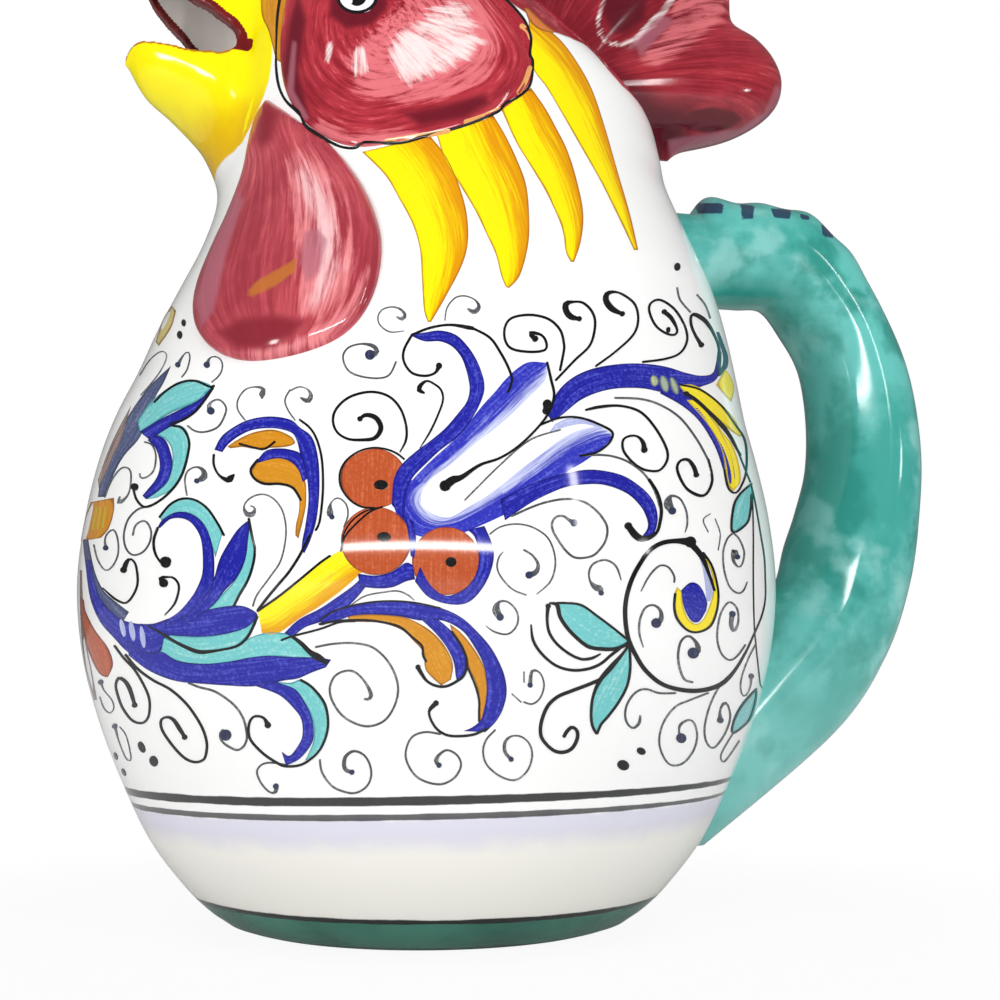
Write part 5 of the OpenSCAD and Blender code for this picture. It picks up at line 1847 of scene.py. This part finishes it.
FADE_BLADES = (
    Blade(((547, 363), (530, 362), (518, 368), (505, 380), (495, 392), (483, 405), (468, 424), (452, 442),
        (434, 458), (418, 474), (404, 490)), ((547, 364), (545, 380), (530, 396), (517, 409), (505, 420),
        (491, 432), (477, 442), (450, 465), (432, 478), (422, 492), (421, 504))),
    Blade(((410, 480), (397, 492), (394, 506), (404, 528), (422, 537), (445, 540), (468, 531), (491, 521),
        (514, 510)), ((428, 484), (421, 492), (421, 504), (433, 514), (450, 517), (468, 507), (485, 497),
        (500, 486), (514, 475))),
    Blade(((508, 513), (520, 507), (537, 493), (555, 480), (570, 470), (585, 461), (600, 450), (611, 439)),
        ((500, 486), (510, 478), (522, 468), (540, 455), (560, 440), (580, 430), (598, 427), (611, 433))),
)
SLATE_BLADES = (
    Blade(((98, 497), (102, 475), (112, 447), (121, 430), (131, 412), (145, 392), (158, 378), (171, 366)),
        ((104, 497), (113, 476), (124, 456), (138, 440), (146, 424), (154, 400), (164, 382), (171, 366))),
    Blade(((83, 540), (85, 560), (89, 585), (96, 600), (106, 615), (119, 628)), ((88, 538), (91, 555),
        (96, 575), (104, 591), (116, 602), (129, 612))),
    Blade(((719, 332), (724, 345), (728, 357), (727, 368), (720, 376)), ((716, 332), (720, 345), (723, 357),
        (722, 366), (716, 374))),
)
STRAW_BLADES = (
    Blade(((172, 306), (163, 320), (156, 342)), ((176, 311), (171, 328), (159, 346))),
)
MAUVE_LEAF_AND_EDGE_SHADE = (
    Blade(((98, 480), (108, 452), (118, 430), (131, 406)), ((99, 488), (110, 464), (120, 442), (131, 406))),
    # A grey-mauve stripe down the belly's left edge: painted shade.
    Blade(((80, 570), (80, 600), (82, 640), (86, 668), (94, 700)), ((82, 570), (83, 600), (87, 645),
        (92, 672), (97, 700))),
)
WASH_BLADES = (
    Blade(((555, 424), (572, 417), (590, 419), (604, 426)), ((548, 434), (565, 427), (585, 424), (602, 430))),
    Blade(((703, 556), (709, 573), (713, 590), (710, 601)), ((698, 555), (703, 570), (706, 594), (706, 602))),
)
DAPPLES = (Disc(123, 628, 2.5, 9, -12), Disc(132.5, 631, 2.8, 10, -10), Disc(143, 637, 2.5, 11, -8))
OVALS = (Disc(654, 381, 4.5, 6, -10), Disc(664, 384, 4.5, 9, -15), Disc(674, 386, 4, 9.5, -20))
TURQUOISE_BLADES = (
    Blade(((138, 422), (150, 405), (165, 392), (180, 384), (195, 381), (208, 385), (212, 387)), ((140, 432),
        (158, 419), (172, 411), (186, 405), (198, 399), (206, 392), (212, 388))),
    Blade(((165, 428), (178, 426), (186, 432), (189, 445), (187, 460), (180, 478), (170, 490), (155, 498)),
        ((157, 434), (166, 438), (172, 446), (174, 456), (173, 468), (168, 482), (158, 492), (148, 499))),
    Blade(((160, 517), (170, 505), (182, 499), (195, 500), (207, 508), (217, 522), (222, 535)), ((162, 521),
        (175, 513), (188, 512), (198, 517), (207, 528), (212, 542), (216, 556))),
    Blade(((250, 525), (254, 550), (253, 565), (248, 580), (240, 594), (232, 605), (215, 610)), ((249, 530),
        (247, 550), (243, 568), (236, 581), (226, 592), (216, 603), (206, 612))),
    Blade(((149, 625), (165, 634), (187, 637), (208, 637), (228, 634), (245, 628), (254, 622)), ((149, 628),
        (165, 637), (178, 644), (196, 650), (212, 650), (236, 645), (254, 625))),
    Blade(((148, 630), (165, 639), (178, 645), (195, 652), (212, 652), (237, 647), (250, 639), (266, 634),
        (280, 634), (293, 637), (305, 646), (317, 657)), ((149, 646), (162, 652), (178, 660), (203, 664),
        (228, 662), (249, 658), (268, 656), (280, 656), (292, 657), (300, 657), (308, 658), (317, 658))),
    Blade(((270, 681), (290, 684), (301, 681), (312, 688), (323, 703), (327, 718), (326, 733), (320, 748),
        (312, 757)), ((280, 686), (292, 691), (303, 700), (311, 712), (315, 727), (315, 739), (312, 748),
        (309, 755), (306, 760))),
    Blade(((557, 604), (565, 603), (581, 606), (597, 617), (613, 629), (628, 641)), ((558, 606), (561, 617),
        (569, 629), (580, 640), (603, 648), (626, 643))),
    Blade(((628, 645), (622, 655), (611, 667), (600, 681), (593, 697), (591, 712), (593, 725), (596, 732)),
        ((629, 646), (629, 667), (626, 685), (618, 701), (608, 715), (602, 722), (599, 727), (597, 732))),
    Blade(((750, 485), (739, 496), (734, 508), (732, 531)), ((751, 488), (750, 508), (746, 522), (734, 531))),
    Blade(((755, 690), (742, 705), (734, 720), (732, 732)), ((755, 695), (750, 716), (742, 726), (733, 732))),
)
OCHRE_BLADES = (
    Blade(((228, 447), (245, 437), (260, 432), (275, 431), (290, 437), (295, 443)), ((230, 448), (242, 446),
        (255, 448), (270, 447), (285, 446), (294, 444))),
    Blade(((257, 462), (275, 458), (290, 461), (300, 470), (305, 485), (305, 505), (302, 520), (298, 538)),
        ((251, 472), (258, 480), (272, 483), (290, 485), (299, 495), (300, 510), (297, 525), (296, 536))),
    Blade(((347, 616), (375, 615), (400, 617), (420, 625), (435, 636), (446, 650), (452, 665), (450, 680)),
        ((350, 621), (365, 621), (382, 622), (402, 629), (414, 640), (424, 652), (427, 670), (442, 685))),
    Blade(((450, 625), (462, 635), (475, 652), (484, 670), (487, 690), (486, 707), (482, 720)), ((452, 632),
        (462, 650), (470, 668), (477, 684), (480, 698), (480, 710), (480, 721))),
    Blade(((92, 502), (86, 520), (82, 541)), ((113, 498), (113, 511), (108, 528), (100, 538))),
)
YELLOW_BLADES = (
    Blade(((258, 611), (278, 597), (299, 581), (320, 564), (338, 552), (352, 551)), ((262, 633), (278, 633),
        (300, 618), (320, 606), (342, 590), (362, 572))),
)
LEMON_BLADES = (
    Blade(((679, 385), (693, 385), (709, 394), (725, 408), (736, 422), (741, 435)), ((681, 389), (700, 404),
        (718, 420), (731, 431), (740, 437))),
    Blade(((686, 400), (704, 420), (716, 438), (723, 456), (726, 479), (732, 491)), ((696, 400), (709, 410),
        (720, 429), (732, 445), (739, 466), (740, 482), (733, 491))),
    Blade(((716, 385), (721, 376), (725, 369)), ((731, 402), (734, 388), (730, 376))),
    Blade(((677, 587), (674, 596), (675, 612), (683, 627), (696, 633), (708, 627), (716, 612), (718, 594),
        (715, 573), (708, 557)), ((682, 592), (682, 600), (684, 610), (689, 620), (697, 624), (704, 618),
        (709, 607), (713, 592), (712, 575), (706, 560))),
    Stroke(((97, 508), (93, 529)), 2.0), Stroke(((101, 508), (98, 529)), 2.0), Stroke(((106, 507),
        (103, 527)), 2.0),
)
BERRIES = (Disc(373.7, 478.6, 33, 30), Disc(376, 541, 35, 34), Disc(446, 561, 34, 34))
BUD = (Blade(((80, 598), (82, 622), (86, 643), (93, 662), (100, 674), (106, 677)), ((84, 600), (86, 612),
    (95, 630), (108, 648), (113, 664), (108, 677))),)
FEATHERS = (
    Blade(((362, 152), (385, 175), (400, 200), (413, 225), (420, 250), (422, 280), (424, 310), (428, 322)),
        ((430, 136), (445, 155), (457, 180), (466, 210), (468, 240), (462, 265), (445, 298), (431, 322))),
    Blade(((436, 132), (445, 160), (460, 185), (475, 210), (487, 235), (496, 255), (501, 275), (506, 287)),
        ((493, 115), (505, 135), (517, 160), (526, 185), (529, 215), (528, 245), (520, 275), (509, 288))),
    Blade(((500, 106), (515, 140), (530, 165), (545, 190), (557, 215), (563, 232), (566, 252), (571, 262)),
        ((531, 88), (545, 108), (556, 128), (567, 150), (576, 178), (583, 212), (581, 240), (574, 262))),
    Blade(((532, 66), (537, 75), (547, 88), (560, 110), (580, 145), (600, 180), (615, 210), (627, 235),
        (634, 250)), ((528, 14), (545, 27), (562, 42), (578, 64), (592, 90), (604, 125), (617, 170),
        (630, 215), (638, 250))),
)
FACE_LINE = Stroke(((276, 50, 1.5), (276, 68, 2.5), (279, 87), (286, 101), (297, 111, 4), (301, 117, 2),
    (306, 126, 3.5), (320, 136, 3.5), (339, 146), (354, 148), (361, 144), (367, 142), (399, 143), (430, 135),
    (466, 125), (497, 112), (506, 103), (518, 97), (530, 85), (533, 62), (530, 54), (531, 38), (525, 21),
    (511, 4), (497, -8), (480, -20), (461, -37), (440, -53), (421, -67), (400, -76), (377, -82), (359, -83),
    (341, -80), (321, -72), (306, -58), (295, -41), (286, -22), (280, -2), (277, 20), (276, 50, 1.5)), 2.6)

EYE = Disc(357, -3, 19, 15)
PUPIL = Disc(357, -5, 10, 11)
GLINT = Disc(350, 1, 2.5, 3)
EYE_LINE = Stroke(tuple((EYE.x + EYE.half_w * math.cos(turn), EYE.y + EYE.half_h * math.sin(turn))
                        for turn in np.linspace(0, 2 * math.pi, 19)), 3)
FRINGE = (Stroke(((522, 26), (528, 31), (531, 38)), 5), Stroke(((530, 68), (525, 82), (519, 92)), 5),
          Stroke(((499, 109), (484, 116), (466, 122)), 5), Stroke(((448, 131), (420, 136), (387, 141)), 5))
CHEEK_RIM = Blade(((440, -51), (468, -29), (496, -7), (511, 6), (524, 22), (529.5, 39), (529, 54),
    (531.5, 63), (529, 83), (519, 95), (504, 102)), ((430, -40), (455, -20), (478, 0), (495, 20), (504, 36),
    (507, 48), (508, 58), (508, 68), (503, 76), (498, 84), (490, 90)))
FOREHEAD_STRIP = Blade(((262, -10), (263, 15), (270, 32), (277, 60)), ((290, -10), (287, 20), (283, 45),
    (280, 62)))
COMB_STAIN = Blade(((524, 8), (529, 20), (538, 29), (552, 33)), ((528, 8), (536, 16), (546, 25), (556, 32)))


@dataclass(frozen=True)
class Layer:
    """All marks of one ink."""

    ink: Ink
    film: Film
    marks: tuple[Mark, ...]

    def build(self) -> bpy.types.Object:
        """Lay the marks on the side that the camera sees and their mirror images on the other."""
        near = merged([self.film.clay(mark, number) for number, mark in enumerate(self.marks)])
        both = merged([near, near.mirrored()])
        return finish_piece(both.fired(self.ink.name), self.ink.material(), self.ink.slot)


LAYERS = (
    Layer(WASH, Film(0.05), WASH_BLADES),
    Layer(FADE, Film(0.053), FADE_BLADES),
    Layer(SLATE, Film(0.052), SLATE_BLADES),
    Layer(MAUVE, Film(0.051), MAUVE_LEAF_AND_EDGE_SHADE),
    Layer(replace(OCHRE, name="straw_brush", colour=srgb(214, 196, 120), light=srgb(232, 222, 170)),
          Film(0.086), STRAW_BLADES),
    Layer(replace(WASH, name="cobalt_dapples"), Film(0.1), DAPPLES),
    Layer(MOSS, Film(0.1), OVALS),
    Layer(LEMON, Film(0.085), LEMON_BLADES),
    Layer(TURQUOISE, Film(0.055, spread=1.4), TURQUOISE_BLADES),
    Layer(YELLOW, Film(0.06), YELLOW_BLADES),
    Layer(OCHRE, Film(0.065, spread=1.0), OCHRE_BLADES + (FOREHEAD_STRIP,)),
    Layer(BERRY, Film(0.07), BERRIES + BUD),
    Layer(COBALT, Film(0.075, spread=0.4), COBALT_BLADES),
    Layer(FEATHER, Film(0.05), FEATHERS),
    Layer(replace(OCHRE, name="comb_stain", colour=srgb(212, 120, 62), light=srgb(226, 146, 84)), Film(0.08),
          (COMB_STAIN,)),
    Layer(Ink("cheek_rim", Slot.CRIMSON, srgb(164, 36, 50), srgb(198, 78, 88), 0.7), Film(0.082),
          (CHEEK_RIM,)),
    Layer(GREY, Film(0.06), GREY_LINES),
    Layer(replace(SLATE, name="slate_dabs", colour=srgb(44, 46, 74), light=srgb(84, 88, 124)), Film(0.15),
          curl_ends(GREY_LINES)),
    Layer(BLACK, Film(0.105), BLACK_LINES + DOTS + curl_ends(BLACK_LINES)),
    Layer(replace(OCHRE, name="face_fringe", colour=srgb(230, 164, 98), light=srgb(242, 190, 134), edge=None),
          Film(0.088, raised=True), FRINGE),
    Layer(replace(BLACK, name="face_line"), Film(0.11, raised=True), (FACE_LINE,)),
    Layer(WHITE, Film(0.08, raised=True), (EYE,)),
    Layer(replace(BLACK, name="eye_ink"), Film(0.12, raised=True), (EYE_LINE, PUPIL)),
    Layer(replace(WHITE, name="eye_glint"), Film(0.16, raised=True), (GLINT,)),
)


@dataclass(frozen=True)
class Studio:
    """A plain white floor, an even white surround and soft lamps."""

    floor_half_m: float = 3.0
    floor_level: float = 0.84
    shadow_m: float = 0.09
    even_m: float = 0.2
    shadow_share: float = 0.93
    surround_level: float = 0.47
    mirrored_level: float = 0.16
    lamp_away_m: float = 1.25

    def floor(self) -> bpy.types.Object:
        """Lay the floor."""
        half = self.floor_half_m
        mesh = bpy.data.meshes.new("floor")
        corners = [(-half, -half, 0), (half, -half, 0), (half, half, 0), (-half, half, 0)]
        mesh.from_pydata(corners, [], [(0, 1, 2, 3)])
        floor = bpy.data.objects.new("floor", mesh)
        bpy.context.scene.collection.objects.link(floor)
        sheet = Sheet("floor")
        sheet.dress((self.floor_level,) * 3, 0.9)
        away = sheet.node("ShaderNodeVectorMath", {"operation": "LENGTH"}, {0: sheet.place()}, "Value")
        even = away.step(self.shadow_m, self.even_m) * (1 - self.shadow_share) + self.shadow_share
        glow = sheet.node("ShaderNodeEmission", {}, {})
        sheet.feed(sheet.surface, sheet.node("ShaderNodeMixShader", {}, {
            0: sheet.light_path("Is Camera Ray") * even, 1: Wire(sheet, sheet.shader.outputs[0]), 2: glow}))
        mesh.materials.append(sheet.material)
        return floor

    def surround(self) -> None:
        """Light everything evenly from a dim surround that the camera sees as white."""
        world = bpy.data.worlds.new("surround")
        world.use_nodes = True
        background = world.node_tree.nodes["Background"]
        background.inputs["Color"].default_value = (1, 1, 1, 1)
        graph = Graph(world.node_tree)
        seen = graph.light_path("Is Camera Ray") * (1 - self.surround_level) + self.surround_level
        graph.feed(background.inputs["Strength"],
                   graph.light_path("Is Glossy Ray") * (self.mirrored_level - self.surround_level) + seen)
        bpy.context.scene.world = world

    def lamp(self, name: str, toward: tuple[float, float], size: tuple[float, float], watts: float,
             gloss: bool = False) -> None:
        """Hang one lamp that faces the pitcher.

        Args:
            name: The lamp's name.
            toward: Its bearing and its height above the pitcher's middle, in degrees.
            size: Its width and height, in metres.
            watts: Its power.
            gloss: Whether the glaze mirrors it.
        """
        light = bpy.data.lights.new(name, "AREA")
        light.shape = "RECTANGLE"
        light.size, light.size_y = size
        light.energy = watts
        bearing, height = (math.radians(angle) for angle in toward)
        level = math.cos(height)
        aim = Vector((math.cos(bearing) * level, math.sin(bearing) * level, math.sin(height)))
        stand = bpy.data.objects.new(name, light)
        stand.location = aim * self.lamp_away_m + Vector((0, 0, 0.12))
        stand.rotation_euler = aim.to_track_quat("Z", "Y").to_euler()
        stand.visible_glossy, stand.visible_diffuse = gloss, not gloss
        bpy.context.scene.collection.objects.link(stand)

    def build(self) -> None:
        """Set up floor, surround, lamps and the colour transform."""
        self.floor()
        self.surround()
        self.lamp("key", (-66, 12), (0.8, 0.8), 6.3)
        self.lamp("fill", (-143, 6), (0.8, 0.8), 8.4)
        self.lamp("top", (-90, 75), (0.9, 0.9), 2.0)
        self.lamp("window", (-105, 6), (1.05, 0.06), 6.0, True)
        self.lamp("left_tube", (-153, 10), (0.1, 0.14), 0.9, True)
        self.lamp("right_tube", (-57, 17), (0.05, 0.28), 0.9, True)
        self.lamp("comb_tube", (-35, 7), (0.07, 0.07), 0.35, True)
        bpy.context.scene.view_settings.view_transform = "Standard"


def main() -> None:
    """Build the pitcher piece by piece."""
    VIEW.place()
    Studio().build()
    tin_glaze = TinGlaze().material()
    Shell().build(tin_glaze)
    Muzzle().build(tin_glaze)
    Crest().build()
    Handle().build()
    # The fourth colour here paints the wattle's highlight and the fifth its shade.
    WATTLE.build(CrimsonGlaze("wattle_glaze", srgb(158, 52, 64), srgb(200, 84, 94), srgb(234, 140, 144),
                              srgb(240, 196, 198), srgb(132, 34, 46)))
    # The cheek's near-white stands for thin crimson with a painted highlight on it.
    CHEEK.build(CrimsonGlaze("cheek_glaze", bare=srgb(247, 228, 226)))
    for layer in LAYERS:
        layer.build()


if __name__ == "__main__":
    logging.basicConfig(level=logging.INFO, format="%(name)s: %(message)s")
    main()
